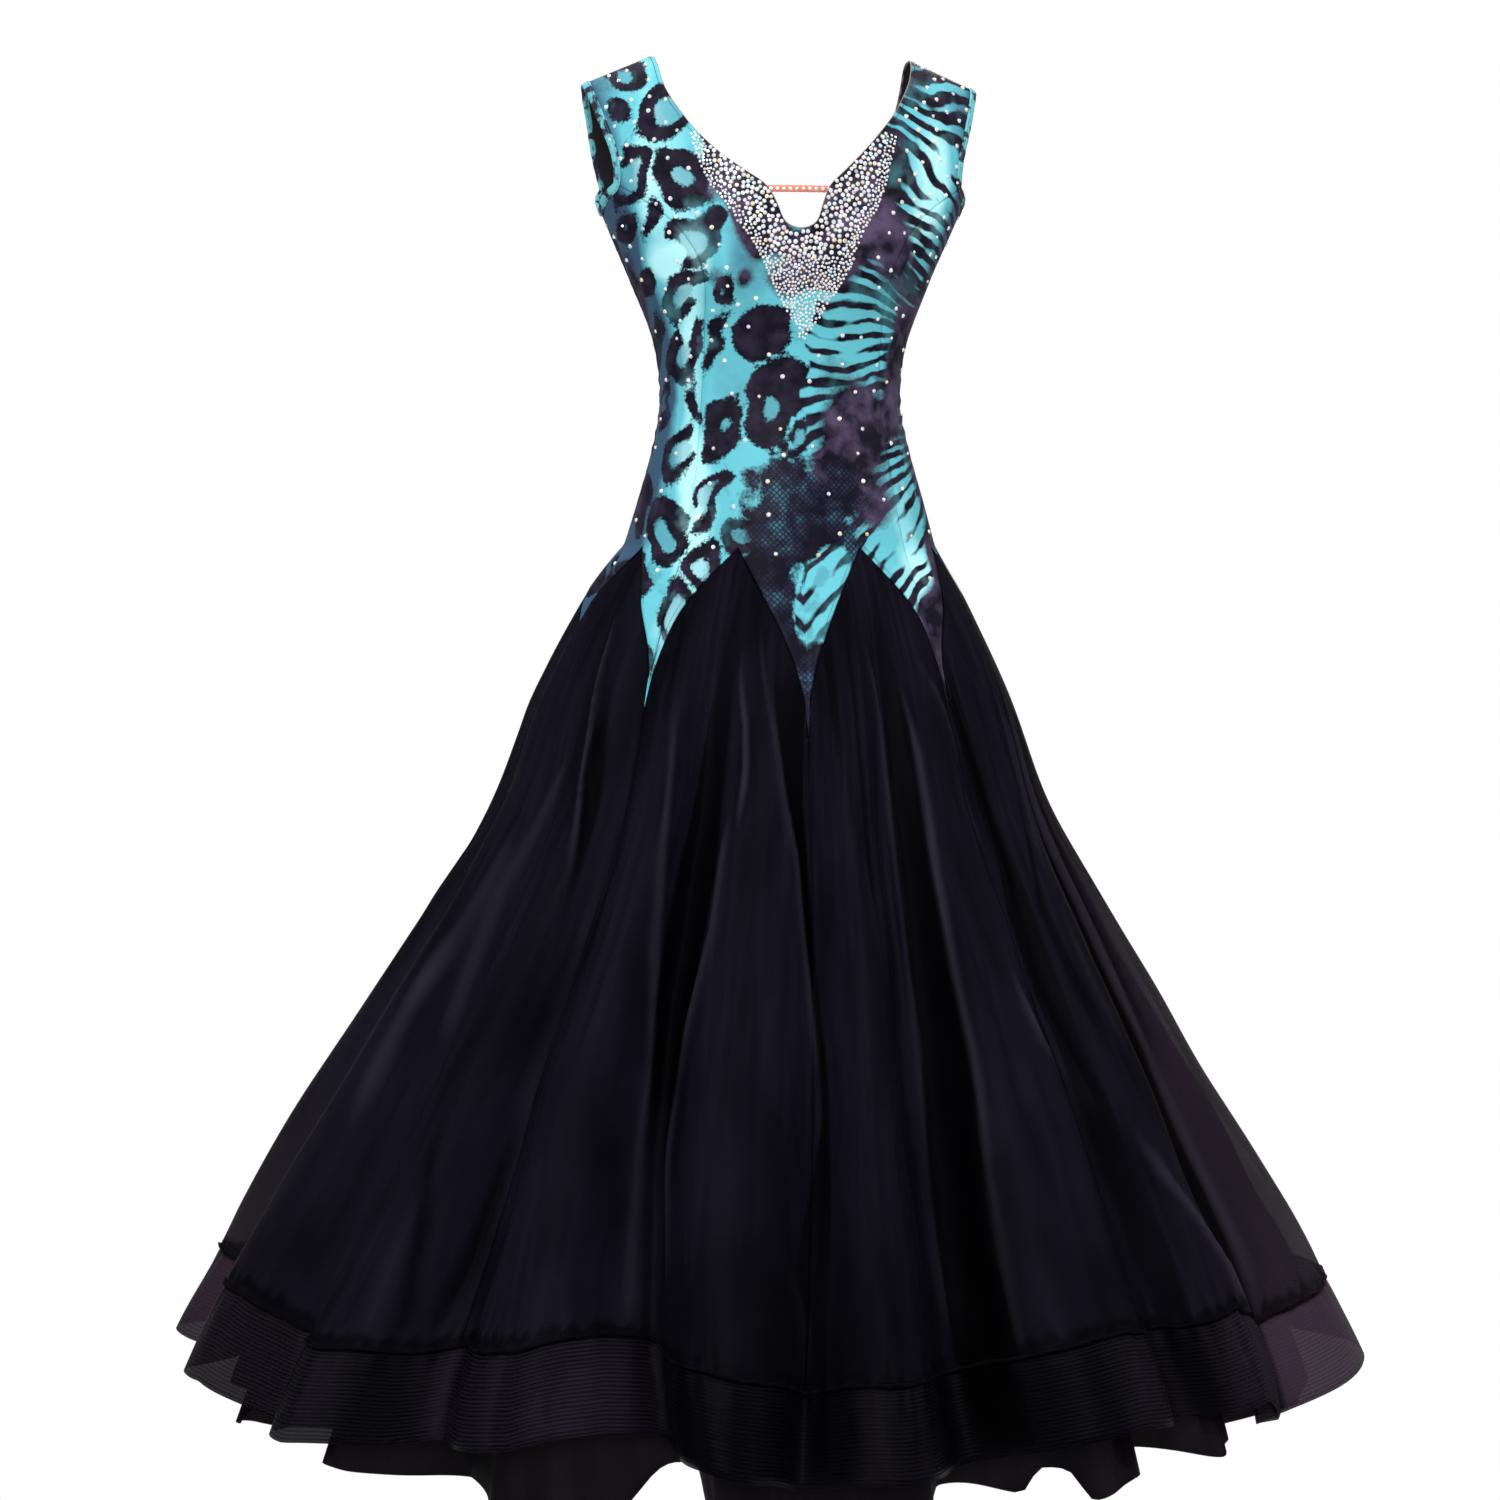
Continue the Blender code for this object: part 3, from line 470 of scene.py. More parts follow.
# Where the ground is paler, as painted highlights, or deeper where the strength is below 0, as
# painted shade; partly the print's own tone too.
GROUND_LIGHTS = (
    (-0.11, -0.3, 0.017, 0.13, 1), (-0.15, -0.085, 0.02, 0.06, 0.8),
    (-0.135, -0.19, 0.045, 0.016, 0.9), (-0.103, -0.45, 0.022, 0.07, 1),
    (-0.125, -0.55, 0.02, 0.05, 0.7), (0.148, -0.11, 0.026, 0.06, 1),
    (0.128, -0.47, 0.028, 0.075, 0.8), (-0.19, -0.25, 0.03, 0.2, -1.2),
    (-0.055, -0.175, 0.03, 0.04, -0.6), (0.185, -0.2, 0.024, 0.15, -1),
    (0.02, -0.29, 0.03, 0.03, 0.2), (-0.06, -0.29, 0.03, 0.06, -0.2),
    (-0.125, -0.135, 0.05, 0.08, 0.45), (0.13, -0.13, 0.03, 0.08, 0.25),
)
BELOW_HIP_GROWTH = 2.2


def cloth_place(angle, level):
    """Metres across and up the flat cloth, which widens below the hip."""
    turn = np.radians(angle)
    level_in = np.maximum(level, PEAK_LEVEL)
    width, depth = at_level(BODY, 1, level_in), at_level(BODY, 2, level_in)
    grown = 1 + np.maximum(PEAK_LEVEL - level, 0) * BELOW_HIP_GROWTH
    return (turn * (width + depth) / 2 + np.sin(2 * turn) * (width - depth) / 4) * grown, level


def sway(across, up, reach, seed):
    """A smooth uneven wave from -1 to 1, made of a few plain ones."""
    chance = random.Random(seed)
    total = np.zeros_like(across)
    for _ in range(6):
        heading = chance.uniform(0, math.tau)
        length = reach * chance.uniform(0.7, 1.6)
        along = across * math.cos(heading) + up * math.sin(heading)
        total += np.sin(along * math.tau / length + chance.uniform(0, math.tau))
    return total / 3.2


def patches_over(across, up, patches):
    """The sum of soft round patches: place, reach across and up, and strength."""
    return sum(
        strength * np.exp(-(((across - x) / wide) ** 2) - ((up - z) / high) ** 2)
        for x, z, wide, high, strength in patches
    )


def all_spots():
    """Every spot of the print: those listed, and more at even random places around the body."""
    chance = random.Random(5)
    spots = list(SPOTS)
    taken = [spot[:2] for spot in SPOTS] + list(BARE_PLACES)
    for row in range(int(SPOT_FIELD_HEIGHT / (SPOT_PITCH * 0.8))):
        for step in range(SPOTS_ACROSS):
            across = 0.02 - (step + 0.5 * (row % 2)) * SPOT_PITCH
            across += chance.uniform(-SPOT_JITTER, SPOT_JITTER)
            up = 0.03 - row * SPOT_PITCH * 0.95 + chance.uniform(-SPOT_JITTER, SPOT_JITTER)
            wide, high = chance.uniform(0.012, 0.024), chance.uniform(0.017, 0.030)
            heart = chance.choice((0, 0.3, 0.42, 0.5))
            gap = chance.choice((-1, chance.uniform(0, 1)))
            clear = SPOT_PITCH * SPOT_CLEARANCE
            if all(math.hypot((across - x) * 1.1, up - z) > clear for x, z in taken):
                taken.append((across, up))
                spots.append((across, up, wide, high, heart, gap if heart else -1))
    return np.array(spots)


ALL_SPOTS = all_spots()


def print_fields(across, up):
    """The print's shapes, and its ground's painted highlights and shade, as smooth fields over the
    cloth, for the finish to read.
    """
    bent_across = across + PRINT_BEND * sway(across, up, 0.045, 1)
    bent_up = up + PRINT_BEND * sway(across, up, 0.05, 2)
    x, z, wide, high, heart, gap = ALL_SPOTS.T
    aside, above = bent_across[:, None] - x, bent_up[:, None] - z
    lean = SPOT_LEAN * np.sin(x * 517 + z * 911)
    aside = aside + lean * above
    reach = np.abs(aside / wide) ** SPOT_SQUARENESS + np.abs(above / high) ** SPOT_SQUARENESS
    reach = reach ** (1 / SPOT_SQUARENESS)
    depth = (1 - reach) * np.minimum(wide, high)
    order = np.argsort(-depth, axis=1)[:, :2]
    first, second = (np.take_along_axis(depth, order[:, i : i + 1], 1)[:, 0] for i in (0, 1))
    own = order[:, 0]
    rows = np.arange(len(across))
    aside, above, wide, high = aside[rows, own], above[rows, own], wide[own], high[own]
    around = np.arctan2(above, aside) - gap[own] * math.tau
    from_gap = np.abs(np.mod(around + math.pi, math.tau) - math.pi)
    opened = np.where(gap[own] >= 0, np.hypot(aside, above) * (from_gap - GAP_WIDTH), NO_GAP)
    off_middle = np.hypot(
        (aside + HEART_SHIFT * wide * np.cos(own * 2.4)) / wide,
        (above + HEART_SHIFT * high * np.sin(own * 2.4)) / high,
    )
    heart_depth = (heart[own] - off_middle) * np.minimum(wide, high)
    spot_depth = np.minimum(np.minimum(first, (first - second) / 2 - SPOT_CHANNEL), opened)
    side, _ = cloth_place(np.full_like(up, SIDE_SEAM_ANGLE), up)
    slope = smooth_line(STRIPE_SLOPES, up)
    climbed = up + slope * (np.abs(across) - 0.05) + 0.008 * sway(across, up, 0.09, 3)
    border = smooth_line(PRINT_BORDER, up) + 0.008 * sway(across, up, 0.06, 4)
    above_scales = np.maximum(up - SCALES_TOP, 0) / SCALES_FADE
    scales = np.exp(-(((across - SCALES_MIDDLE) / SCALES_REACH) ** 4) - above_scales**2)
    for bare in SCALE_GAPS:
        scales = scales - patches_over(across, up, (bare,))
    stripe_turn = smooth_line(STRIPE_COUNTS, climbed)
    behind = np.clip((np.abs(across) - 0.18) / 0.05, 0, 1)
    return {
        "spot_depth": np.clip(spot_depth, -0.008, 0.06),
        "heart_depth": np.clip(heart_depth, -0.012, 0.06),
        "stripe_turn": stripe_turn + 0.5 * behind * sway(across, up, 0.11, 5),
        "stripe_share": np.clip((across - border) / BORDER_SOFTNESS + 0.5, 0, 1),
        "scale_share": scales,
        "cloud_share": np.clip(patches_over(across, up, CLOUDS), 0, 1.8),
        "open_ground": patches_over(across, up, OPEN_GROUND),
        "wash_share": patches_over(across, up, WASHES),
        # Paler and deeper ground, deepest at the side seams: painted highlight and painted shade,
        # partly the print's own tone.
        "ground_light": patches_over(across, up, GROUND_LIGHTS)
        - SIDE_SHADE_AND_TONE * np.exp(-(((np.abs(across) - side) / SIDE_REACH) ** 2)),
    }


class Signal:
    """A number that varies over a surface. Sums with it add Math nodes."""

    def __init__(self, tree, socket):
        self.tree, self.socket = tree, socket

    def maths(self, operation, first, second=0.0, clamp=False):
        node = self.tree.nodes.new("ShaderNodeMath")
        node.operation, node.use_clamp = operation, clamp
        for socket, value in zip(node.inputs, (first, second)):
            if isinstance(value, Signal):
                self.tree.links.new(value.socket, socket)
            else:
                socket.default_value = value
        return Signal(self.tree, node.outputs[0])

    def __add__(self, other):
        return self.maths("ADD", self, other)

    def __sub__(self, other):
        return self.maths("SUBTRACT", self, other)

    def __rsub__(self, other):
        return self.maths("SUBTRACT", other, self)

    def __mul__(self, other):
        return self.maths("MULTIPLY", self, other)

    def __truediv__(self, other):
        return self.maths("DIVIDE", self, other)

    __radd__, __rmul__ = __add__, __mul__

    def wave(self):
        """Its sine, where one whole turn is 1."""
        return self.maths("SINE", self * math.tau)

    def past(self, edge, softness):
        """0 below the edge and 1 above it, with a soft step between."""
        return self.maths("ADD", (self - edge) / softness, 0.5, clamp=True)


class Finish:
    """A material in the making. Uniform values go straight to the shader's sockets."""

    def __init__(self, name, uniform):
        self.material = bpy.data.materials.new(name)
        self.material.use_nodes = True
        self.tree = self.material.node_tree
        self.shader = self.tree.nodes["Principled BSDF"]
        for socket, value in uniform.items():
            self.shader.inputs[socket].default_value = value

    def node(self, kind, settings, sockets):
        """A node of a kind. Its settings come first, then its sockets' values or links."""
        node = self.tree.nodes.new("ShaderNode" + kind)
        for name, value in settings.items():
            setattr(node, name, value)
        for name, value in sockets.items():
            source = value.socket if isinstance(value, Signal) else value
            if isinstance(source, bpy.types.NodeSocket):
                self.tree.links.new(source, node.inputs[name])
            else:
                node.inputs[name].default_value = value
        return node

    def signal(self, kind, settings, sockets, output=0):
        return Signal(self.tree, self.node(kind, settings, sockets).outputs[output])

    def field(self, name):
        """A field that the mesh carries."""
        return self.signal("Attribute", {"attribute_name": name}, {}, "Fac")

    def flat_place(self):
        """The place on the flat cloth, in metres."""
        return self.node("UVMap", {"uv_map": "cloth"}, {}).outputs[0]

    def own_place(self):
        """The place in the object's own space."""
        return self.node("TexCoord", {}, {}).outputs["Object"]

    def mapped(self, place, scale=(1, 1, 1), turn=0):
        """A place on the cloth, stretched and turned."""
        sockets = {"Vector": place, "Scale": scale, "Rotation": (0, 0, turn)}
        return self.node("Mapping", {}, sockets).outputs[0]

    def noise(self, place, scale, detail=2.0, roughness=0.5):
        sockets = {"Vector": place, "Scale": scale, "Detail": detail, "Roughness": roughness}
        return self.signal("TexNoise", {}, sockets)

    def weave(self, place, pitch):
        """The fine checks of a woven or knitted cloth."""
        return self.signal("TexChecker", {}, {"Vector": place, "Scale": 1 / pitch}, "Fac")

    def blend(self, share, first, second):
        """A colour between two, each a socket or three numbers."""
        first, second = ((*c, 1) if isinstance(c, tuple) else c for c in (first, second))
        node = self.node("Mix", {"data_type": "RGBA"}, {0: share, 6: first, 7: second})
        return node.outputs[2]

    def join(self, socket, value):
        source = value.socket if isinstance(value, Signal) else value
        self.tree.links.new(source, self.shader.inputs[socket])

    def relief(self, height, distance, strength=1.0, under=None):
        """A Bump node from heights of 0 to 1."""
        sockets = {"Height": height, "Distance": distance, "Strength": strength}
        if under:
            sockets["Normal"] = under
        return self.node("Bump", {}, sockets).outputs["Normal"]


# Teals of the ground: plain; pale, mostly a painted highlight and in places at random; deep, the
# print's own deeper ground and painted shade.
TEAL, PALE_HIGHLIGHT_TEAL, DEEP_TEAL = (0.130, 0.52, 0.61), (0.48, 0.93, 0.98), (0.040, 0.095, 0.165)
INK, PLUM, SMOKE = (0.0042, 0.0034, 0.0105), (0.084, 0.059, 0.118), (0.030, 0.036, 0.080)
SCALE_SIZE = 0.0040
WEAVE_PITCH = 0.0007

print_finish = Finish("stretch_print", {"Specular IOR Level": 0.07})
flat_place = print_finish.flat_place()
ragged = print_finish.noise(flat_place, 300, 4, 0.65) - 0.5
broad = print_finish.noise(flat_place, 30, 2) - 0.5
spot = (print_finish.field("spot_depth") + ragged * 0.010 + broad * 0.010).past(0, 0.0020)
heart = (print_finish.field("heart_depth") + ragged * 0.009 + broad * 0.012).past(0, 0.0026)
spots = spot * (1 - heart)
stripe_turn = print_finish.field("stripe_turn")
stripe_wave = (stripe_turn + broad * 0.75 + ragged * 0.10).wave()
along = print_finish.signal("SeparateXYZ", {}, {"Vector": flat_place}, "X")
on_stripes = print_finish.node("CombineXYZ", {}, {"X": along * 26, "Y": stripe_turn * 0.9})
taper = print_finish.noise(on_stripes.outputs[0], 1, 2) - 0.5
stripes = (stripe_wave + taper * 5.0 - print_finish.field("open_ground") * 0.9).past(-0.25, 0.60)
dark = spots + (stripes - spots) * print_finish.field("stripe_share").past(0.5, 0.4)
washed = (print_finish.noise(flat_place, 24, 3) + print_finish.field("wash_share")).past(0.66, 0.25)
dark = dark * (1 - washed * 0.42)
cloudy = print_finish.noise(flat_place, 17, 3) - 0.5
shallow = print_finish.noise(flat_place, 55, 4)
# The ground is painted paler as highlight or deeper as shade where this field says, mixed with
# random clouds.
light = print_finish.field("ground_light")
ground = print_finish.blend((light + cloudy * 1.6).past(0.55, 0.7), TEAL, PALE_HIGHLIGHT_TEAL)
ground = print_finish.blend((cloudy * 1.2 - light).past(0.45, 0.7), ground, DEEP_TEAL)
ground = print_finish.blend(heart * 0.35, ground, DEEP_TEAL)
dye = print_finish.blend(shallow.past(0.56, 0.3) * 0.25, INK, PLUM)
colour = print_finish.blend(dark, ground, dye)
plum_dye = print_finish.blend((shallow + cloudy).past(0.52, 0.35), INK, PLUM)
cloud = (print_finish.field("cloud_share") + broad * 0.5 + ragged * 0.3).past(0.62, 0.35)
colour = print_finish.blend(cloud, colour, plum_dye)
smoke = (print_finish.noise(flat_place, 13, 4, 0.6) + ragged * 0.15).past(0.66, 0.18)
colour = print_finish.blend(smoke * 0.75, colour, plum_dye)
net = print_finish.signal(
    "TexVoronoi",
    {"feature": "DISTANCE_TO_EDGE"},
    {
        "Vector": print_finish.mapped(flat_place, turn=0.8),
        "Scale": 1 / SCALE_SIZE,
        "Randomness": 0.25,
    },
)
mottle = print_finish.noise(flat_place, 26, 3) + print_finish.noise(flat_place, 80, 2) * 0.4
scale_top = print_finish.blend(mottle.past(0.85, 0.22), SMOKE, (0.045, 0.18, 0.25))
scale_top = print_finish.blend(mottle.past(0.73, 0.24), INK, scale_top)
scale_colour = print_finish.blend(net.past(0.13, 0.16), INK, scale_top)
scaled = (print_finish.field("scale_share") + broad * 1.6 + ragged * 0.5).past(0.5, 0.22)
colour = print_finish.blend(scaled, colour, scale_colour)
print_finish.join("Base Color", colour)
print_finish.join("Roughness", 0.34 + 0.16 * shallow + 0.08 * dark)
weave = print_finish.weave(flat_place, WEAVE_PITCH)
soft_creases = print_finish.noise(flat_place, 38, 2)
soft_relief = print_finish.relief(soft_creases, 0.0012, 0.5)
print_finish.join("Normal", print_finish.relief(weave, 0.00005, 0.35, soft_relief))


def plain_finish(name, roughness, specular, grain, dark, light, relief):
    """A finish in two tones of one noise, which also raises it.

    Grain is the noise's scale and detail, and relief its distance and strength. A roughness
    of two numbers varies with the noise.
    """
    finish = Finish(name, {"Specular IOR Level": specular})
    tone = finish.noise(finish.own_place(), *grain)
    finish.join("Base Color", finish.blend(tone, dark, light))
    finish.join("Normal", finish.relief(tone, *relief))
    if isinstance(roughness, tuple):
        finish.join("Roughness", roughness[0] + roughness[1] * tone)
    else:
        finish.shader.inputs["Roughness"].default_value = roughness
    return finish


lining = plain_finish(
    "black_lining", 0.7, 0.25, (900, 2), (0.006, 0.005, 0.008), (0.014, 0.012, 0.017), (0.0001, 0.5)
)

SEAM_DEPTH, SEAM_REACH = 0.0013, 0.0026
PUCKER_HEIGHT, PUCKER_PITCH, PUCKER_REACH = 0.0004, 0.013, 0.009
EASE_HEIGHT, CREASE_PITCH, WAIST_LEVEL, WAIST_REACH = 0.0010, 0.017, -0.325, 0.045
PRINT_THICKNESS, WELD_DISTANCE = 0.0009, 0.00002


def laid_grid(bm, columns, rows, form):
    """A grid of cloth in a bmesh, laid by a form of its shares across and up."""
    made = bmesh.ops.create_grid(bm, x_segments=columns, y_segments=rows, size=0.5)["verts"]
    share = np.array([vert.co[:2] for vert in made]) + 0.5
    for vert, point in zip(made, form(*share.T)):
        vert.co = point


def cloth_mesh(form, pieces, offset):
    """A bmesh of cloth grids: each its columns, its rows and where its shares lie on a form.

    Gives the bmesh, and each vertex's angle and level.
    """
    bm = bmesh.new()
    places = []

    def laid(across, up):
        angle, level = place(across, up)
        places.append((angle, level))
        off = offset(angle, level, across, up)[:, None]
        return form(angle, level) + outward(form, angle, level) * off

    for columns, rows, place in pieces:
        laid_grid(bm, columns, rows, laid)
    return bm, *np.concatenate(places, axis=1)


def finished_piece(name, bm, finishes, fields=None, flat=None, thickness=0.0, smooth=True):
    """An object from a bmesh, with its fields, its flat place as UV map and its wall."""
    mesh = bpy.data.meshes.new(name)
    bm.to_mesh(mesh)
    bm.free()
    if smooth:
        mesh.shade_smooth()
    for key, values in (fields or {}).items():
        field = mesh.attributes.new(key, "FLOAT", "POINT")
        field.data.foreach_set("value", values.astype(np.float32))
    if flat is not None:
        corners = np.zeros(len(mesh.loops), np.int32)
        mesh.loops.foreach_get("vertex_index", corners)
        layer = mesh.uv_layers.new(name="cloth")
        layer.data.foreach_set("uv", flat[corners].astype(np.float32).ravel())
    for finish in finishes:
        mesh.materials.append(finish.material)
    piece = bpy.data.objects.new(name, mesh)
    bpy.context.scene.collection.objects.link(piece)
    if thickness:
        wall = piece.modifiers.new("wall", "SOLIDIFY")
        wall.thickness = thickness
        wall.offset = -1
        if len(finishes) > 1:
            wall.material_offset = 1
    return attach(piece, "root")


def ease(angle, level):
    """How far the bodice stands off its form: soft waves, and creases at the waist's sides."""
    body = np.clip((YOKE_LEVEL + 0.05 - level) / 0.04, 0, 1)
    aside = np.clip((90 - np.abs(np.abs(angle) - 90) - 40) / 40, 0, 1)
    waist = np.exp(-(((level - WAIST_LEVEL) / WAIST_REACH) ** 2)) * aside
    lean = 2 * np.sin(angle / 9)
    crease = np.sin((level + 0.0006 * angle) * math.tau / CREASE_PITCH + lean) * waist
    return EASE_HEIGHT * body * (crease + sway(angle / 300, level, 0.11, 7))


def panel(name, sides, back, shape):
    """A printed panel of one or two halves: its seams pressed in along its edges, its print."""
    node = name.replace("_cloth", "_panel")
    flips = [(side < 0) != back for side in sides]

    def half(side, flip):
        place = shape(side, back)

        def turned(across, up):
            angle, level = place(1 - across if flip else across, up)
            return side * (180 - angle) if back else side * angle, level

        return turned

    def offset(angle, level, across, _):
        flip = flips[0] if len(sides) == 1 else angle[len(angle) // 2] < 0
        across = 1 - across if flip else across
        width = at_level(BODY, 1, np.maximum(level, PEAK_LEVEL))
        radius = width * math.radians(GODET_ANGLE)
        edge = (1 - across) * radius
        if len(sides) == 1:
            edge = np.minimum(edge, across * radius)
        in_seam = np.exp(-((edge / SEAM_REACH) ** 2))
        below = np.where(level < HIP_LEVEL, level - edge_level(angle), 1)
        in_seam = np.maximum(in_seam, np.exp(-((below / SEAM_REACH) ** 2)))
        pucker = np.sin(level * math.tau / PUCKER_PITCH + 3 * np.sin(level * 31))
        pucker = pucker * np.exp(-edge / PUCKER_REACH)
        return PUCKER_HEIGHT * pucker + ease(angle, level) - SEAM_DEPTH * in_seam

    rows = TONGUE_ROWS + len(CENTRE_ROWS) - 1
    if shape is centre_panel:
        rows += len(YOKE_ROWS)
    pieces = [(PANEL_COLUMNS, rows * FINE_ROWS, half(*pair)) for pair in zip(sides, flips)]
    bm, angle, level = cloth_mesh(dress_form, pieces, offset)
    if len(sides) > 1:
        keep = bmesh.ops.find_doubles(bm, verts=bm.verts, dist=WELD_DISTANCE)["targetmap"]
        bm.verts.index_update()
        gone = {vert.index for vert in keep}
        kept = [i for i in range(len(bm.verts)) if i not in gone]
        bmesh.ops.weld_verts(bm, targetmap=keep)
        angle, level = angle[kept], level[kept]
    across, up = cloth_place(angle, level)
    fields, flat = print_fields(across, up), np.stack([across, up], 1)
    piece = finished_piece(name, bm, (print_finish, lining), fields, flat, PRINT_THICKNESS)
    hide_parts(node)


panel("front_centre_cloth", (1, -1), False, centre_panel)
for hand, side in (("left", 1), ("right", -1)):
    panel(f"front_side_cloth_{hand}", (side,), False, side_panel)
    panel(f"back_side_cloth_{hand}", (side,), True, side_panel)
    panel(f"back_centre_cloth_{hand}", (side,), True, centre_panel)

# ---------------------------------------------------------------------------
# Edge bindings. The armholes are bound with a folded strip of paler printed
# cloth, and the neckline and its notch with a narrow nude tape that shows as
# a fine line. Each wraps over the cut edge and is stitched down.
# ---------------------------------------------------------------------------
def even_path(angle, level, pitch):
    """Points on the dress along a closed line, a pitch apart, as angles and levels."""
    points = dress_form(angle, level)
    steps = np.linalg.norm(np.diff(points, axis=0), axis=1)
    along = np.concatenate([[0], np.cumsum(steps)])
    at = np.linspace(0, along[-1], round(along[-1] / pitch), endpoint=False)
    return np.interp(at, along, angle), np.interp(at, along, level)


def edge_frame(angle, level, centre):
    """Points of a closed edge, their outward directions and their directions into the cloth."""
    points = dress_form(angle, level)
    normal = outward(dress_form, angle, level)
    along = np.roll(points, -1, 0) - np.roll(points, 1, 0)
    into = np.cross(normal, along)
    into /= np.linalg.norm(into, axis=1)[:, None]
    into *= np.sign(np.sum(into * (points - centre)))
    return points, normal, into


def smoothed(values, times):
    """A closed row of values with its kinks eased."""
    for _ in range(times):
        values = (np.roll(values, 1, 0) + values * 2 + np.roll(values, -1, 0)) / 4
    return values


WELD_REACH, RIPPLE_HEIGHT = 0.00001, 0.00018


def roll(columns, sides, form):
    """A bmesh of a grid whose last row meets its first, with its open ends filled."""
    bm = bmesh.new()
    laid_grid(bm, columns, sides, form)
    bmesh.ops.remove_doubles(bm, verts=bm.verts, dist=WELD_REACH)
    bmesh.ops.holes_fill(bm, edges=[edge for edge in bm.edges if edge.is_boundary], sides=0)
    bmesh.ops.recalc_face_normals(bm, faces=bm.faces)
    return bm


def binding(name, angle, level, centre, profile, finish):
    """A strip folded over a closed edge. Its profile gives places into the cloth and off it."""
    points, normal, into = (smoothed(v, 4) for v in edge_frame(angle, level, centre))
    count, turns = len(angle), len(profile)

    def form(along, around):
        place = np.round(along * count).astype(int) % count
        inwards, off = np.array(profile)[np.round(around * turns).astype(int) % turns].T
        off = off + RIPPLE_HEIGHT * np.sin(place * 1.1) * (off > 0)
        return points[place] + into[place] * inwards[:, None] + normal[place] * off[:, None]

    finished_piece(name, roll(count, turns, form), (finish,))


DARK_PATCH = (0.022, 0.018, 0.042)

binding_finish = Finish("printed_binding", {"Specular IOR Level": 0.2})
binding_place = binding_finish.own_place()
patches = binding_finish.noise(binding_place, 62, 3)
threads = binding_finish.noise(binding_place, 420, 2)
pale_cloth = binding_finish.blend(threads, (0.09, 0.38, 0.44), (0.22, 0.66, 0.72))
patched = binding_finish.blend(patches.past(0.50, 0.06), pale_cloth, DARK_PATCH)
binding_finish.join("Base Color", patched)
binding_finish.join("Roughness", 0.42 + 0.15 * threads)
binding_finish.join("Normal", binding_finish.relief(threads, 0.0002, 0.5))

nude_finish = plain_finish(
    "nude_tape", (0.55, 0.2), 0.3, (800, 2), (0.55, 0.17, 0.11), (0.78, 0.27, 0.18), (0.0002, 0.6)
)

# The places of a fold's profile: how far each lies into the cloth and off it.
ARMHOLE_FOLD = (
    (-0.001, -0.0004), (-0.0008, 0.0007), (0.0002, 0.0013), (0.003, 0.0015), (0.0062, 0.0014),
    (0.0078, 0.0009), (0.008, 0), (0.007, -0.0012), (0.004, -0.002), (0.0004, -0.0019),
)
NECK_FOLD = (
    (-0.0005, -0.0009), (-0.0004, -0.0003), (-0.0001, -0.0001), (0.0004, -0.0003),
    (0.001, -0.0011), (0.0016, -0.0012), (0.0016, -0.0018), (0.0008, -0.0018), (-0.0003, -0.0014),
)

STITCH_PITCH, STITCH_LENGTH, THREAD_WIDTH, THREAD_HEIGHT = 0.0028, 0.0020, 0.0004, 0.8
BINDING_PITCH = 0.0024
NECK_CENTRE = (0.0, 0.0, -0.03)
ARMHOLE_STEPS, NECK_STEPS = 60, 160
front_end, back_end = FRONT_ARMHOLE[0][1], 180 - BACK_ARMHOLE[0][1]
# Each row of stitches: its name, its line, and how far it lies into the cloth and off it.
stitched_edges = []
for hand, side in (("left", 1), ("right", -1)):
    rise = np.linspace(0, 1, ARMHOLE_STEPS)
    front_level = YOKE_LEVEL + YOKE_SPAN * (1 - rise)
    front_angle = smooth_line(FRONT_ARMHOLE, front_level)
    under_angle = front_end + (back_end - front_end) * rise
    from_side = under_angle - SIDE_SEAM_ANGLE
    reach = np.where(from_side < 0, SIDE_SEAM_ANGLE - front_end, back_end - SIDE_SEAM_ANGLE)
    half = np.abs(from_side) / reach
    under_level = CENTRE_ROWS[-1] + (SIDE_ROWS[-1] - CENTRE_ROWS[-1]) * (1 - half)
    back_level = YOKE_LEVEL + YOKE_SPAN * rise
    back_angle = 180 - smooth_line(BACK_ARMHOLE, back_level)
    angle = side * np.concatenate([front_angle, under_angle[1:-1], back_angle])
    level = np.concatenate([front_level, under_level[1:-1], back_level])
    line = even_path(angle, level, STITCH_PITCH)
    stitched_edges.append((f"armhole_stitches_{hand}", line, 0.0062, 0.0015))
    angle, level = even_path(angle, level, BINDING_PITCH)
    centre = dress_form(angle, level).mean(0)
    binding(f"armhole_binding_{hand}", angle, level, centre, ARMHOLE_FOLD, binding_finish)

neck_rise = np.linspace(0, 1, NECK_STEPS) ** 2
neck_level = FRONT_NOTCH_LEVEL + (YOKE_LEVEL + YOKE_SPAN - FRONT_NOTCH_LEVEL) * neck_rise
notch = neck_opening(neck_level, FRONT_NOTCH_LEVEL)
back_neck_level = BACK_NECK_LEVEL + (YOKE_LEVEL + YOKE_SPAN - BACK_NECK_LEVEL) * neck_rise
back_notch = neck_opening(back_neck_level, BACK_NECK_LEVEL)
neck_parts = []
for side in (1, -1):
    front_side = side * neck_angle(FRONT_NECKLINE, side, neck_level) * notch
    back_side = side * (180 - neck_angle(BACK_NECKLINE, side, back_neck_level) * back_notch)
    parts = [(front_side, neck_level), (back_side[::-1], back_neck_level[::-1])]
    if side < 0:
        parts = [(a[::-1] + 360, lv[::-1]) for a, lv in reversed(parts)]
    neck_parts += parts
angle, level = np.concatenate(neck_parts, axis=1)
stitched_edges.append(("neck_stitches", even_path(angle, level, STITCH_PITCH), 0.0034, 0.0003))
angle, level = even_path(angle, level, BINDING_PITCH)
tape_finish = plain_finish(
    "neck_tape", 0.6, 0.2, (900, 2), (0.20, 0.13, 0.12), (0.42, 0.30, 0.26), (0.0002, 0.5)
)
binding("neck_tape", angle, level, np.array(NECK_CENTRE), NECK_FOLD, tape_finish)

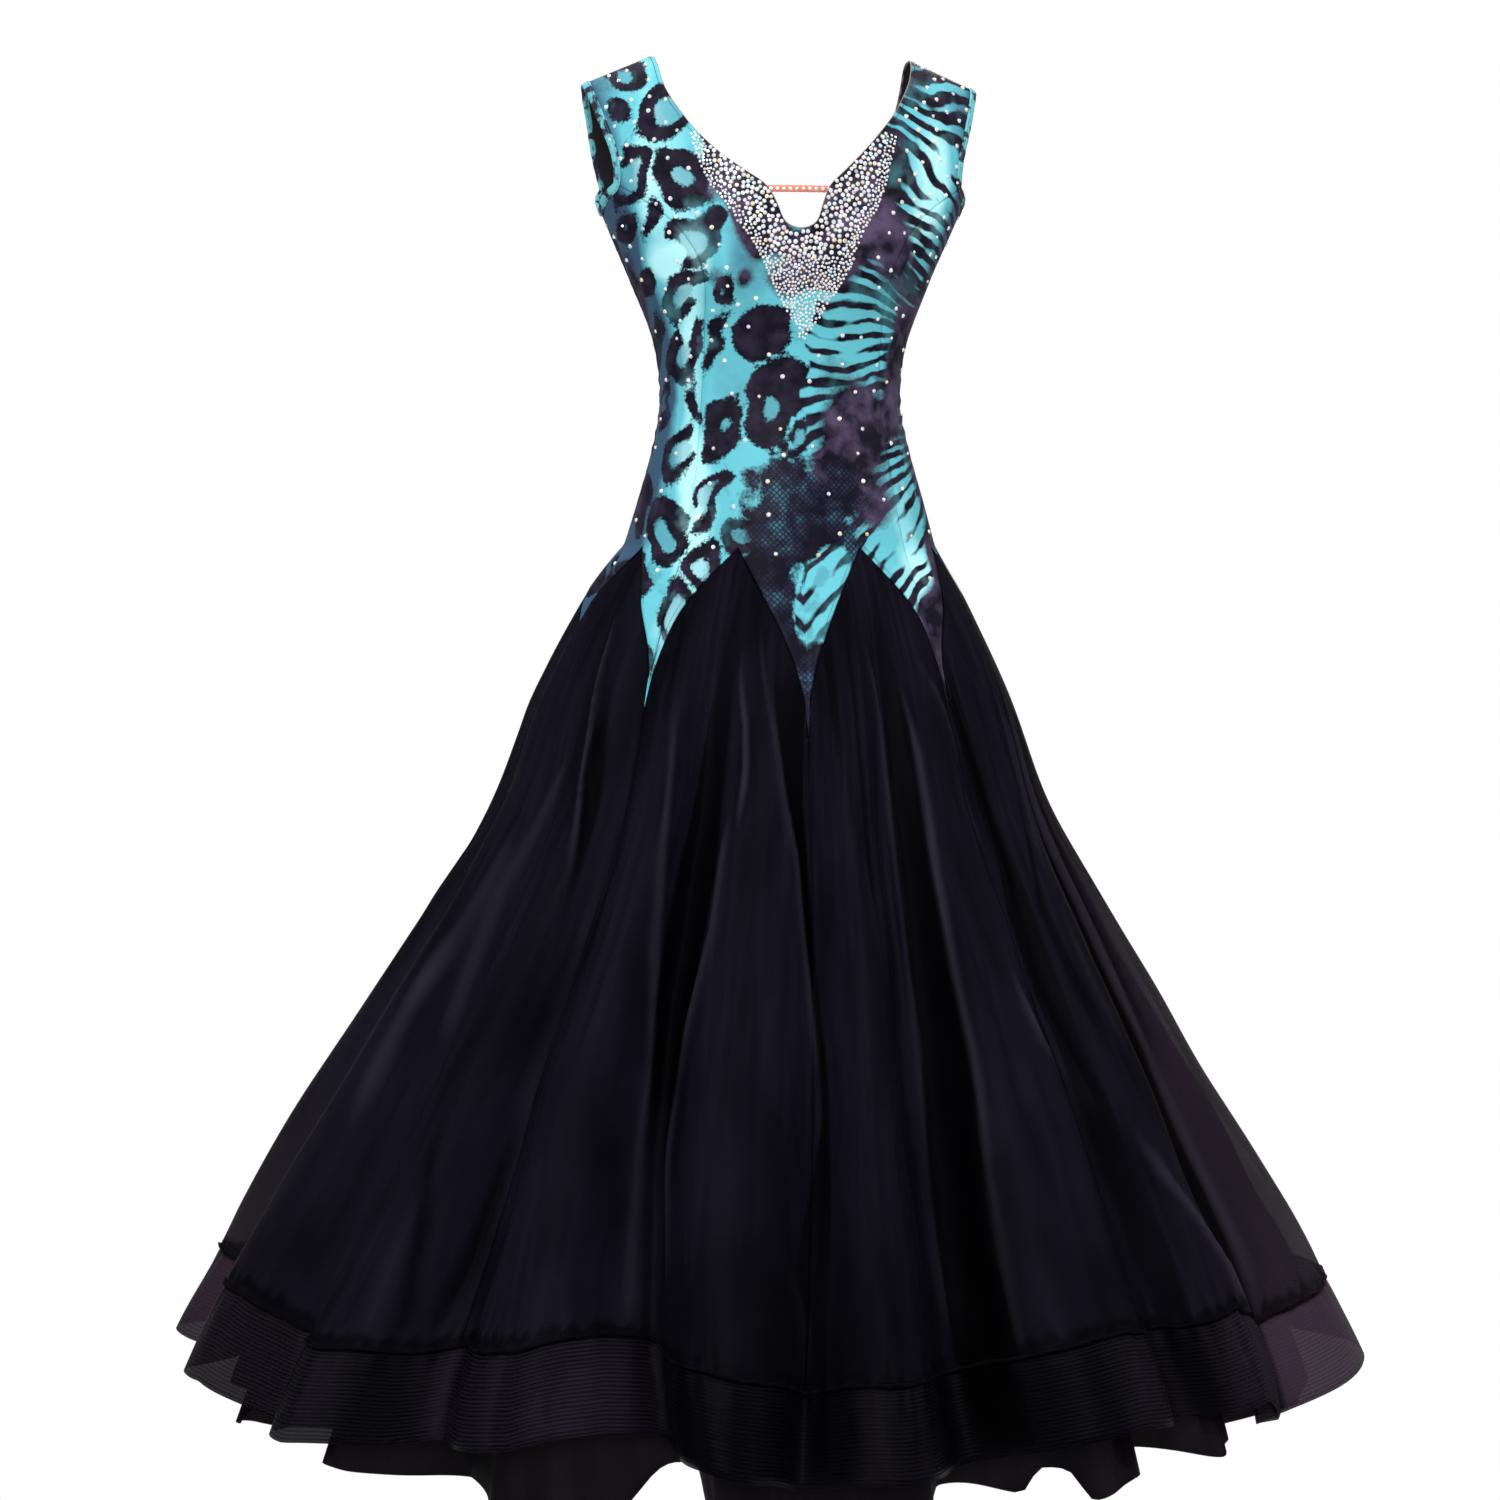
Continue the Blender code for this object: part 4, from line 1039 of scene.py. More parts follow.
# ---------------------------------------------------------------------------
# Stitching. Each binding and tape is held by one row of thread, and a row
# runs along the points where the godets are set into the bodice.
# ---------------------------------------------------------------------------
def stitches(name, angle, level, centre, inwards, off, finish):
    """A row of stitches beside a closed line: a short bar of thread for each."""
    points, normal, into = (smoothed(v, 2) for v in edge_frame(angle, level, centre))
    bm = bmesh.new()
    for number, point in enumerate(points):
        along = Vector(points[(number + 1) % len(points)] - points[number - 1]).normalized()
        up = Vector(normal[number])
        frame_of = Matrix((along, up.cross(along).normalized(), up)).transposed().to_4x4()
        place = Vector(point + into[number] * inwards + normal[number] * off)
        size = Matrix.Diagonal((STITCH_LENGTH, THREAD_WIDTH, THREAD_WIDTH * THREAD_HEIGHT, 1))
        bmesh.ops.create_cube(bm, size=1, matrix=Matrix.Translation(place) @ frame_of @ size)
    finished_piece(name, bm, (finish,))


teal_thread, black_thread = (
    plain_finish(name, 0.45, 0.3, (2500, 1), dark, light, (0.0001, 0.6))
    for name, dark, light in (
        ("teal_thread", (0.030, 0.14, 0.17), (0.10, 0.34, 0.38)),
        ("black_thread", (0.004, 0.003, 0.006), (0.020, 0.016, 0.026)),
    )
)
for name, (angle, level), inwards, off in stitched_edges:
    thread_of_edge = black_thread if name == "neck_stitches" else teal_thread
    middle = NECK_CENTRE if name == "neck_stitches" else dress_form(angle, level).mean(0)
    stitches(name, angle, level, np.array(middle), inwards, off, thread_of_edge)

angle = np.linspace(-180, 180, 7201)
angle, level = even_path(angle, edge_level(angle), STITCH_PITCH)
below_hem = np.array((0.0, 0.0, -2.0))
stitches("godet_seam_stitches", angle, level, below_hem, 0.0036, 0.0002, black_thread)

# ---------------------------------------------------------------------------
# Bar across the neck notch. A narrow folded strip of nude stretch cloth, sewn
# behind the notch's two edges and set with a row of stones.
# ---------------------------------------------------------------------------
BAR_LEVEL, BAR_HEIGHT, BAR_HALF_ANGLE, BAR_DEPTH = -0.119, 0.0066, 10.2, 0.0031
BAR_THICKNESS, BAR_COLUMNS = 0.0018, 64
# Its section, as shares of its height and thickness.
BAR_PROFILE = (
    (0.5, 0), (0.42, 0.45), (0, 0.55), (-0.42, 0.45), (-0.5, 0), (-0.42, -0.45), (0, -0.5),
    (0.42, -0.45),
)


def bar_form(along, around):
    """Points of the bar, which lies just behind the cloth."""
    turn = np.round(around * len(BAR_PROFILE)).astype(int) % len(BAR_PROFILE)
    tall, deep = np.array(BAR_PROFILE)[turn].T
    angle = BAR_HALF_ANGLE * (2 * along - 1)
    level = BAR_LEVEL + BAR_HEIGHT * (1 + 0.05 * np.sin(along * 90)) * tall
    normal = outward(dress_form, angle, np.full_like(angle, BAR_LEVEL))
    return dress_form(angle, level) + normal * (deep * BAR_THICKNESS - BAR_DEPTH)[:, None]


bar = roll(BAR_COLUMNS, len(BAR_PROFILE), bar_form)
bar_piece = finished_piece("neck_bar_strip", bar, (nude_finish,))
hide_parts("neck_bar")

# ---------------------------------------------------------------------------
# Godets. Eight flared pieces of black organza, set in between the bodice's
# tongues. The crisp cloth hangs in deep flutes with narrow creases between
# them, and is gathered a little into the seam of the hem band.
# ---------------------------------------------------------------------------
HEM_DIP, BAND_HEIGHT, SEAM_UNEVENNESS = 0.18, 0.082, 0.0012
# How far the hem seam is drawn up at each angle, or sags where it is below 0.
SEAM_DRAPE = (
    (-180, 0), (-150, 0.004), (-125, -0.005), (-100, 0.002), (-84, 0.006), (-76, 0.01),
    (-70, -0.008), (-57, -0.016), (-49, -0.015), (-45, -0.008), (-33, -0.004), (-29, 0.009),
    (-26.5, 0.014), (-23.5, 0.012), (-20.5, -0.001), (-14, -0.005), (-6, -0.012), (0, -0.013),
    (6, -0.011), (12, -0.012), (22, -0.013), (26, -0.006), (29, -0.002), (35, 0.002), (45, -0.006),
    (51, 0), (56, 0.012), (61, -0.003), (70, 0), (95, 0.005), (120, -0.005), (150, 0.004),
    (180, 0),
)
GODET_COLUMNS, GODET_CLOTH_ROWS = 132, 72


def seam_level(angle):
    """Level of the seam between the godets and the hem band."""
    before, after, share = flute_place(angle)
    lift = before[5] * (1 - share) + after[5] * share + np.interp(angle, *np.array(SEAM_DRAPE).T)
    lift = lift + SEAM_UNEVENNESS * sway(np.radians(angle) * 0.5, angle * 0, 0.05, 27)
    dip = HEM_DIP * fold_recess(angle, np.full_like(angle, HEM_SEAM_LEVEL))
    return HEM_SEAM_LEVEL + lift - dip


# Folds, each as its height and width, and the angle of its line from one
# level down to the next. Those below 0 are pressed in.
FOLD_LINES = (
    (0.004, 0.9, (
        (-0.51, -65), (-0.552, -61), (-0.596, -59.3), (-0.64, -56.2), (-0.678, -54.9),
        (-0.709, -53.3), (-0.78, -50.8),
    )),
    (0.003, 1.5, ((-0.64, -66), (-0.714, -69.7), (-0.796, -71.3), (-0.877, -70.3), (-0.96, -69))),
    (0.0035, 0.9, (
        (-0.6, -33.5), (-0.644, -30.5), (-0.742, -29), (-0.799, -27.3), (-0.861, -26),
        (-0.93, -24.9), (-1.19, -24.5),
    )),
    (0.005, 0.8, (
        (-0.56, -17), (-0.59, -15.6), (-0.629, -13.8), (-0.666, -13), (-0.691, -13.2),
        (-0.735, -14),
    )),
    (0.0035, 0.8, (
        (-0.7, -15.5), (-0.767, -16.4), (-0.818, -16.7), (-0.867, -17.9), (-0.915, -19.3),
        (-0.963, -19.8), (-1.15, -20),
    )),
    (0.0025, 0.9, ((-0.52, -12.8), (-0.577, -10.7), (-0.623, -8.3), (-0.67, -6.2))),
    (0.003, 0.8, (
        (-0.62, -8), (-0.698, -5.9), (-0.75, -3.2), (-0.826, -1.6), (-0.881, -0.5), (-0.96, 0.9),
    )),
    (0.0025, 0.9, ((-1.07, -5), (-1.109, -3.7), (-1.157, -1.2), (-1.215, 0.5))),
    (0.0035, 1, (
        (-0.54, 17), (-0.629, 22.2), (-0.692, 23.8), (-0.752, 24.4), (-0.861, 24.5),
        (-0.921, 24.1), (-1.2, 23.6),
    )),
    (0.0045, 0.8, (
        (-0.59, 27), (-0.661, 29), (-0.714, 29.3), (-0.763, 28.8), (-0.86, 28.2), (-0.957, 28.2),
        (-1.038, 27.3), (-1.23, 26.8),
    )),
    (0.003, 1.1, ((-0.55, 30), (-0.609, 36.7), (-0.658, 40.3), (-0.708, 44), (-0.78, 46.4))),
    (0.005, 0.8, ((-0.85, 35.3), (-0.895, 36.3), (-0.919, 36.9), (-0.965, 39.5))),
    (0.0035, 1, ((-0.58, 62), (-0.652, 61), (-0.692, 60), (-0.735, 57.5), (-0.79, 53.4))),
    (0.006, 1, ((-1.01, 51), (-1.06, 52.8), (-1.1, 55.6), (-1.14, 58.4), (-1.28, 59.8))),
    (0.003, 1, ((-0.8, 54.6), (-0.88, 54), (-0.96, 55))),
    (0.003, 1.3, ((-0.5, -84), (-0.59, -81), (-0.7, -82.5), (-0.82, -79))),
    (-0.0035, 0.7, (
        (-0.56, 45), (-0.617, 46.2), (-0.682, 47.8), (-0.771, 48.3), (-0.816, 46.9),
        (-0.896, 46.8), (-1, 49),
    )),
    (-0.003, 0.7, ((-0.69, 58.5), (-0.759, 53.4), (-0.809, 51.2), (-0.858, 51.3), (-0.96, 52.4))),
    (-0.003, 0.8, ((-0.99, -54.5), (-1.046, -53), (-1.089, -50.9), (-1.162, -49.9), (-1.21, -50))),
    (-0.003, 0.8, ((-0.99, -46.2), (-1.12, -46.5), (-1.2, -47.9))),
    (-0.003, 0.9, ((-0.48, -41.5), (-0.54, -35), (-0.64, -34.5))),
    (-0.0025, 0.9, ((-0.48, 15), (-0.56, 12.5), (-0.7, 13.5), (-0.82, 14.6))),
    (-0.0025, 0.9, ((-0.48, 7), (-0.57, 6), (-0.68, 8))),
)
# Painted shade in the dark insides of the front's folds: level, the angles of both edges, and
# strength.
FOLD_SHADES = (
    (
        (-0.48, -19, -17.5, 0.3), (-0.62, -23.5, -17.8, 0.6), (-0.75, -25.6, -17.6, 0.9),
        (-0.87, -25.6, -18.8, 1), (-0.96, -25, -19.3, 1), (-1.05, -24.9, -20.4, 0.35),
        (-1.27, -24.9, -20.8, 0.5),
    ),
    (
        (-0.56, -9, 1.2, 0.5), (-0.64, -7, -1.3, 0.8), (-0.7, -5, -1.8, 1), (-0.76, -2.6, -0.7, 1),
        (-0.84, -1, 0.4, 1), (-0.92, 0.8, 2.2, 1), (-0.99, 1.6, 3, 0.9), (-1.11, -2.4, 3, 0.7),
        (-1.27, 1.2, 3, 0.9),
    ),
    (
        (-0.5, 22, 24, 0.3), (-0.63, 23.2, 28, 0.7), (-0.7, 24.2, 28.4, 0.8),
        (-0.81, 24.4, 28.4, 1), (-0.93, 24.2, 28.4, 1), (-1.04, 23.4, 27.8, 1),
        (-1.27, 23.2, 27.4, 1),
    ),
    (
        (-0.6, -56.5, -53, 0.6), (-0.64, -55.2, -51.5, 1), (-0.68, -54.3, -50.4, 1),
        (-0.71, -52.8, -49.9, 0.9), (-0.76, -50.9, -49.8, 0.8), (-0.8, -50.2, -49.7, 0.5),
    ),
    (
        (-0.56, 45.4, 47.6, 0.5), (-0.69, 47.6, 49.4, 0.8), (-0.78, 48, 50, 0.8),
        (-0.9, 46.8, 49.6, 0.6), (-1.05, 46.8, 50.2, 0.5), (-1.27, 48, 50.4, 0.7),
    ),
    ((-1.16, 59.9, 61.2, 1), (-1.22, 60.5, 61.6, 1), (-1.29, 61, 61.8, 1)),
)
# Parts of the skirt in shade: angle and level, reach of each and strength.
SKIRT_SHADES = (
    (-11, -1.13, 9, 0.08, 0.45), (12, -1.06, 9, 0.13, 0.35), (37, -1.13, 9, 0.06, 0.4),
    (-36, -0.56, 7, 0.07, 0.45), (8, -0.53, 9, 0.06, 0.4), (-12, -0.52, 8, 0.05, 0.45),
    (-52, -0.9, 3, 0.1, 0.4), (53, -0.93, 3, 0.12, 0.35), (-75, -1.12, 12, 0.06, 0.25),
    (2, -1.16, 16, 0.07, 0.55),
)
# Where the skirt's flanks stand off the layer behind: the cloth lets more through, and its paler
# colour is painted light shining through.
FLANKS = ((78, -0.98, 14, 0.23, 1), (76, -1.24, 13, 0.1, 1), (-98, -1.2, 16, 0.14, 0.6))
# The main folds of the sides and back, and the painted shade inside each.
PLAIN_FOLD_ANGLES = (-180.0, -157.5, -135.0, -112.5, -90.0, 67.5, 90.0, 112.5, 135.0, 157.5)
PLAIN_FOLD_SHADE = (
    (-0.55, -0.3, 0.3, 0.8), (-0.75, -1.5, 1.5, 1), (-0.95, -2.2, 2.2, 1), (-1.3, -2.4, 2.4, 0.9),
)
FOLD_EDGE_SOFTNESS, FOLD_END_SOFTNESS = 0.45, 0.05


def wrapped(angle):
    """An angle between -180 and 180."""
    return np.mod(angle + 180, 360) - 180


def back_lines(seed):
    """Fold lines of the sides and back: at each main fold's edges, and uneven ones between."""
    chance = random.Random(seed)
    lines = []
    for fold in PLAIN_FOLD_ANGLES:
        for side in (-1, 1):
            near, far = side * chance.uniform(0.8, 2.0), side * chance.uniform(2.2, 3.0)
            points = ((-0.60, fold + near), (-0.80, fold + far), (-1.20, fold + far))
            lines.append((chance.uniform(0.0025, 0.0045), 0.9, points))
        for _ in range(3):
            angle, start = fold + chance.uniform(4, 18), chance.uniform(-0.85, -0.48)
            end = start - chance.uniform(0.15, 0.45)
            lean = chance.uniform(-4, 4)
            height = chance.choice((-0.003, 0.003, 0.004)) * chance.uniform(0.7, 1.2)
            points = ((start, angle), (max(end, -1.24), angle + lean))
            lines.append((height, chance.uniform(0.8, 1.6), points))
    return tuple(lines)


ALL_FOLD_LINES = FOLD_LINES + back_lines(21)


def fold_relief(angle, level):
    """How far the narrow folds lift the cloth."""
    off = np.zeros_like(angle)
    for height, width, points in ALL_FOLD_LINES:
        levels, angles = np.array(points)[::-1].T
        apart = wrapped(angle - np.interp(level, levels, angles)) / width
        shown = np.clip(np.minimum(levels[-1] - level, level - levels[0]) / FOLD_END_SOFTNESS, 0, 1)
        off += height * shown**0.8 * np.exp(-apart * apart)
    return off


def fold_shade(angle, level):
    """Painted shade inside the folds: how dark the cloth is made there."""
    shade = np.zeros_like(angle)
    folds = [np.array(rows) for rows in FOLD_SHADES]
    folds += [np.array(PLAIN_FOLD_SHADE) + (0, fold, fold, 0) for fold in PLAIN_FOLD_ANGLES]
    for rows in folds:
        levels, low, high, strength = rows[::-1].T
        low, high, strength = (np.interp(level, levels, values) for values in (low, high, strength))
        middle, half = (low + high) / 2, (high - low) / 2
        inside = np.clip((half - np.abs(wrapped(angle - middle))) / FOLD_EDGE_SOFTNESS + 0.5, 0, 1)
        shown = np.clip((levels[-1] - level) / 0.06 + 0.3, 0, 1)
        shown = shown * np.clip((level - levels[0]) / 0.03 + 1, 0, 1)
        shade = np.maximum(shade, inside * shown * strength)
    return shade


WAVE_HEIGHT, RIPPLES_HEIGHT, GATHER_HEIGHT, GATHER_REACH = 0.0045, 0.0012, 0.0019, 0.012


def hang(angle, level):
    """How far the skirt's cloth stands off its main folds."""
    fallen = np.clip((PEAK_LEVEL - level) / (PEAK_LEVEL - HEM_SEAM_LEVEL), 0, 1.2)
    around = np.radians(angle)
    waves = sway(np.sin(around) * 0.5, level + 0.2 * np.cos(around), 0.30, 11)
    off = WAVE_HEIGHT * waves * fallen**0.7
    off += RIPPLES_HEIGHT * sway(around * 0.5, level * 0.5, 0.06, 13) * fallen
    off += fold_relief(angle, level)
    over_seam = np.abs(level - seam_level(angle))
    gathers = sway(around * 0.5, level * 0.2, 0.014, 17)
    off += GATHER_HEIGHT * gathers * np.exp(-over_seam / GATHER_REACH)
    return off


def godet_place(first):
    """Where a godet's shares across and up lie."""

    def place(across, up):
        angle = first + GODET_ANGLE * across
        share = np.interp(up, (0, 0.13, 0.86, 1), (0, 0.04, 0.90, 1))
        low = seam_level(angle)
        return angle, low + (edge_level(angle) - low) * share

    return place


SET_IN_DEPTH, SET_IN_REACH, SETTLING = 0.0011, 0.003, 0.03


def godet_off(angle, level, across, _):
    """Its hang, pressed in along its seams."""
    below = edge_level(angle) - level
    radius = at_level(SKIRT, 1, level) * math.radians(GODET_ANGLE)
    edge = np.minimum(np.minimum(across, 1 - across) * radius, below)
    settled = np.clip(below / SETTLING, 0, 1)
    return hang(angle, level) * settled - SET_IN_DEPTH * np.exp(-((edge / SET_IN_REACH) ** 2))


ORGANZA_THICKNESS, ORGANZA_PITCH = 0.0004, 0.0006
# Organza tones: dark and pale streaks, cloudy patches, painted light shining through the flanks, a
# painted highlight on raised ridges, and painted shade.
ORGANZA_DARK, ORGANZA_PALE = (0.0038, 0.0032, 0.0064), (0.0116, 0.0099, 0.0186)
ORGANZA_CLOUD, ORGANZA_SHADE = (0.0024, 0.0020, 0.0040), (0.0006, 0.0006, 0.0012)
ORGANZA_LIGHT_THROUGH, ORGANZA_CREST_HIGHLIGHT = (0.029, 0.0190, 0.031), (0.040, 0.036, 0.055)

organza = Finish("black_organza", {"Specular IOR Level": 0.011})
skirt_place = organza.flat_place()
drawn = organza.mapped(skirt_place, (1.0, 0.10, 1.0))
streaks = organza.noise(drawn, 75, 3, 0.6)
fine_streaks = organza.noise(drawn, 420, 2)
cloudiness = organza.noise(organza.mapped(skirt_place, (1.0, 0.4, 1.0), 0.5), 14, 3)
single = organza.field("single_layer_light")
tone = organza.blend(streaks.past(0.54, 0.62), ORGANZA_DARK, ORGANZA_PALE)
tone = organza.blend(cloudiness.past(0.56, 0.26) * 0.80, tone, ORGANZA_CLOUD)
# Painted light shining through the flanks where the cloth is a single layer.
tone = organza.blend(single * (0.45 + 0.5 * streaks), tone, ORGANZA_LIGHT_THROUGH)
# Painted highlight on the raised folds' ridges.
tone = organza.blend(organza.field("crest_highlight"), tone, ORGANZA_CREST_HIGHLIGHT)
# Painted shade in the folds, grooves and shaded parts, and the darker turned-up allowance.
organza.join("Base Color", organza.blend(organza.field("painted_shade_and_allowance"), tone, ORGANZA_SHADE))
organza.join("Alpha", 0.80 - 0.17 * single)
organza.join("Roughness", 0.38 + 0.14 * streaks)
creases = organza.relief(streaks + 0.4 * fine_streaks, 0.0009, 0.40)
organza_weave = organza.weave(skirt_place, ORGANZA_PITCH)
organza.join("Normal", organza.relief(organza_weave, 0.00003, 0.3, creases))

SKIRT_CLOTH_RADIUS = 0.50
# How dark the turned-up allowance shows, and the fold heights that give full painted shade in a
# groove and full painted highlight on a ridge.
TURNED_UP_SHADE, GROOVE_SHADE_HEIGHT, CREST_HIGHLIGHT_HEIGHT = 0.78, 0.004, 0.0045
ALLOWANCE, ALLOWANCE_UNEVENNESS = 0.007, 0.003


def skirt_place_of(angle, level):
    """Metres across and up the skirt's flat cloth."""
    return np.stack([np.radians(angle) * SKIRT_CLOTH_RADIUS, level], 1)


def shade_and_light_fields(angle, level):
    """Painted shade, the darker allowance, painted highlights on ridges and painted light on
    flanks.
    """
    relief = fold_relief(angle, level)
    above_seam = level - seam_level(angle)
    uneven = sway(np.radians(angle) * 0.5, angle * 0, 0.014, 31)
    cut = ALLOWANCE + ALLOWANCE_UNEVENNESS * uneven
    turned_up = TURNED_UP_SHADE * np.clip(1 - np.abs(above_seam - cut) / cut, 0, 1) ** 0.5
    # Painted shade in the pressed-in grooves.
    pressed = np.clip(-relief / GROOVE_SHADE_HEIGHT, 0, 0.8)
    shaded = np.clip(patches_over(angle, level, SKIRT_SHADES), 0, 0.6)
    return {
        # Painted shade in folds, grooves and shaded parts, and the darker turned-up allowance.
        "painted_shade_and_allowance": np.maximum.reduce((fold_shade(angle, level), pressed, turned_up, shaded)),
        # Painted highlight where a fold is raised.
        "crest_highlight": np.clip(relief / CREST_HIGHLIGHT_HEIGHT - 0.25, 0, 1) * 0.6,
        # Real see-through on the flanks, and the painted light shining through them.
        "single_layer_light": np.clip(patches_over(angle, level, FLANKS), 0, 1),
    }


for number in range(8):
    grid = (GODET_COLUMNS, GODET_CLOTH_ROWS, godet_place(-180 + number * GODET_ANGLE))
    bm, angle, level = cloth_mesh(dress_form, [grid], godet_off)
    fields, flat = shade_and_light_fields(angle, level), skirt_place_of(angle, level)
    name = f"godet_cloth_{number + 1}"
    piece = finished_piece(name, bm, (organza,), fields, flat, ORGANZA_THICKNESS)
    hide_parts(f"godet_{number + 1}")

# ---------------------------------------------------------------------------
# Hem band. A strip of black horsehair braid, a stiff ribbed net, that holds
# the flutes open. It is seamed to the godets over a thin rolled cord of
# gathered cloth.
# ---------------------------------------------------------------------------
BAND_COLUMNS, BAND_CLOTH_ROWS = 960, 10
RIB_PITCH, BRAID_THICKNESS, BRAID_RADIUS = 0.0034, 0.0007, 0.55
BAND_BULGE, BAND_TUCK, BAND_TUCK_REACH = 0.0015, 0.0012, 0.003
# Where the braid turns to the light, and where it lies in shade: angle and
# level, reach of each and strength.
BAND_LIGHTS = (
    (-27, -1.235, 3.2, 0.07, 0.9), (-38, -1.235, 9, 0.06, 0.12), (-66, -1.235, 9, 0.08, 0.15),
    (10, -1.265, 2.5, 0.03, 0.25), (57, -1.22, 2, 0.08, 0.6), (36, -1.235, 3, 0.06, 0.3),
    (120, -1.235, 8, 0.07, 0.5), (-140, -1.235, 8, 0.07, 0.5),
)
BAND_SHADES = (
    (-14, -1.24, 7, 0.09, 0.9), (2, -1.25, 9, 0.09, 0.8), (20, -1.25, 8, 0.09, 0.8),
    (30, -1.235, 5, 0.08, 0.55), (-51, -1.235, 2.5, 0.08, 0.6), (43, -1.235, 3, 0.08, 0.5),
)


def band_place(across, up):
    """Where the band's shares across and up lie: all round, below the seam."""
    angle = -180 + 360 * across
    return angle, seam_level(angle) - BAND_HEIGHT * (1 - up)


def band_off(angle, level, _, up):
    """Its hang, a little rounded, and tucked in along the seam."""
    below = (1 - up) * BAND_HEIGHT
    rounded = hang(angle, level) + BAND_BULGE * np.sin(np.pi * up)
    return rounded - BAND_TUCK * np.exp(-((below / BAND_TUCK_REACH) ** 2))


# Braid tones: dark and pale ribs, the painted sheen, painted light shining through a single layer,
# and painted shade.
HAIR_DARK, HAIR_PALE = (0.0008, 0.0007, 0.0015), (0.0080, 0.0063, 0.0120)
HAIR_SHEEN, HAIR_LIGHT_THROUGH = (0.0230, 0.0185, 0.0300), (0.0400, 0.0250, 0.0400)
HAIR_SHADE = (0.0005, 0.0005, 0.0010)

horsehair = Finish("black_horsehair", {"Specular IOR Level": 0.018})
band_flat = horsehair.flat_place()
up_band = horsehair.signal("SeparateXYZ", {}, {"Vector": band_flat}, "Y")
wobble = horsehair.noise(horsehair.mapped(band_flat, (1.0, 8.0, 1.0)), 14, 2)
ribs = (up_band / RIB_PITCH + wobble * 0.8).wave() * 0.5 + 0.5
hairs = horsehair.noise(horsehair.mapped(band_flat, (0.04, 1.0, 1.0)), 1800, 2)
band_tone = horsehair.noise(band_flat, 12, 2)
sheen_bands = horsehair.noise(horsehair.mapped(band_flat, (1.0, 0.15, 1.0)), 22, 3)
braid = horsehair.blend(ribs * hairs * 1.7, HAIR_DARK, HAIR_PALE)
sheen = horsehair.field("sheen") * (0.35 + 0.65 * ribs) + sheen_bands.past(0.60, 0.20) * 0.35
braid = horsehair.blend(sheen, braid, HAIR_SHEEN)
# Painted light shining through the braid where it is a single layer.
braid = horsehair.blend(horsehair.field("single_layer_light"), braid, HAIR_LIGHT_THROUGH)
# Painted shade in the folds and the braid's shaded parts, and the darker turned-up allowance.
horsehair.join("Base Color", horsehair.blend(horsehair.field("painted_shade_and_allowance"), braid, HAIR_SHADE))
horsehair.join("Roughness", 0.30 + 0.12 * hairs + 0.10 * band_tone)
horsehair.join("Alpha", 0.84 + 0.09 * ribs)
horsehair.join("Normal", horsehair.relief(ribs * 0.7 + 0.3 * hairs, 0.0005, 0.8))

band_grid = (BAND_COLUMNS, BAND_CLOTH_ROWS, band_place)
bm, angle, level = cloth_mesh(dress_form, [band_grid], band_off)
flat = np.stack([np.radians(angle) * BRAID_RADIUS, level - seam_level(angle)], 1)
fields = shade_and_light_fields(angle, level)
# Painted shade on the braid's own shaded parts.
shades = np.clip(patches_over(angle, level, BAND_SHADES), 0, 0.92)
fields["sheen"] = np.clip(patches_over(angle, level, BAND_LIGHTS), 0, 0.7)
fields["painted_shade_and_allowance"] = np.maximum(fields["painted_shade_and_allowance"], shades)
band_piece = finished_piece("hem_band_braid", bm, (horsehair,), fields, flat, BRAID_THICKNESS)
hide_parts("hem_band")

CORD_COLUMNS, CORD_SIDES, CORD_RADIUS, CORD_OFF = 1440, 8, 0.0017, 0.0008
CORD_LUMPS, CORD_LUMPS_AROUND, CORD_WANDER = 0.22, 205, 0.0006


def cord_form(along, around):
    """A thin lumpy cord that lies on the seam all round."""
    angle = -180 + 360 * (np.round(along * CORD_COLUMNS) % CORD_COLUMNS) / CORD_COLUMNS
    turn = (np.round(around * CORD_SIDES) % CORD_SIDES) / CORD_SIDES * math.tau
    level = seam_level(angle)
    lumps = np.sin(np.radians(angle) * CORD_LUMPS_AROUND + 2.2 * np.sin(np.radians(angle) * 37))
    radius = CORD_RADIUS * (1 + CORD_LUMPS * lumps)
    off = hang(angle, level) + CORD_OFF + radius * np.cos(turn)
    points = dress_form(angle, level) + outward(dress_form, angle, level) * off[:, None]
    wander = CORD_WANDER * sway(np.radians(angle), level, 0.05, 9)
    points[:, 2] += radius * 1.1 * np.sin(turn) + wander
    return points


CORD_DARK, CORD_PALE = (0.0005, 0.0004, 0.0008), (0.0042, 0.0036, 0.0060)
cord_finish = plain_finish("rolled_seam", 0.6, 0.015, (160, 3), CORD_DARK, CORD_PALE, (0.0008, 0.7))
finished_piece("hem_seam_roll", roll(CORD_COLUMNS, CORD_SIDES, cord_form), (cord_finish,))

# ---------------------------------------------------------------------------
# Underskirt. Thin black net cut longer than the godets, sewn in at the hip.
# It falls in softer, narrower folds and its raw hem rises here and there.
# ---------------------------------------------------------------------------
UNDERSKIRT_HEM_LEVEL, UNDERSKIRT_SIDE_HEM_LEVEL = -1.33, -1.305
UNDERSKIRT_SHRINK, UNDERSKIRT_SHRINK_POWER, UNDERSKIRT_FREE_SHARE = 0.11, 0.7, 0.03
CLOTH, SEAM_GAP, LAYER_GAP = 0.002, 0.0003, 0.003
NET_COLUMNS, NET_ROWS, NET_THICKNESS, NET_PITCH = 600, 44, 0.0005, 0.0011
NET_FOLD_HEIGHT, NET_FOLD_START, NET_HEM_WAVE = 0.0055, 0.25, 0.003
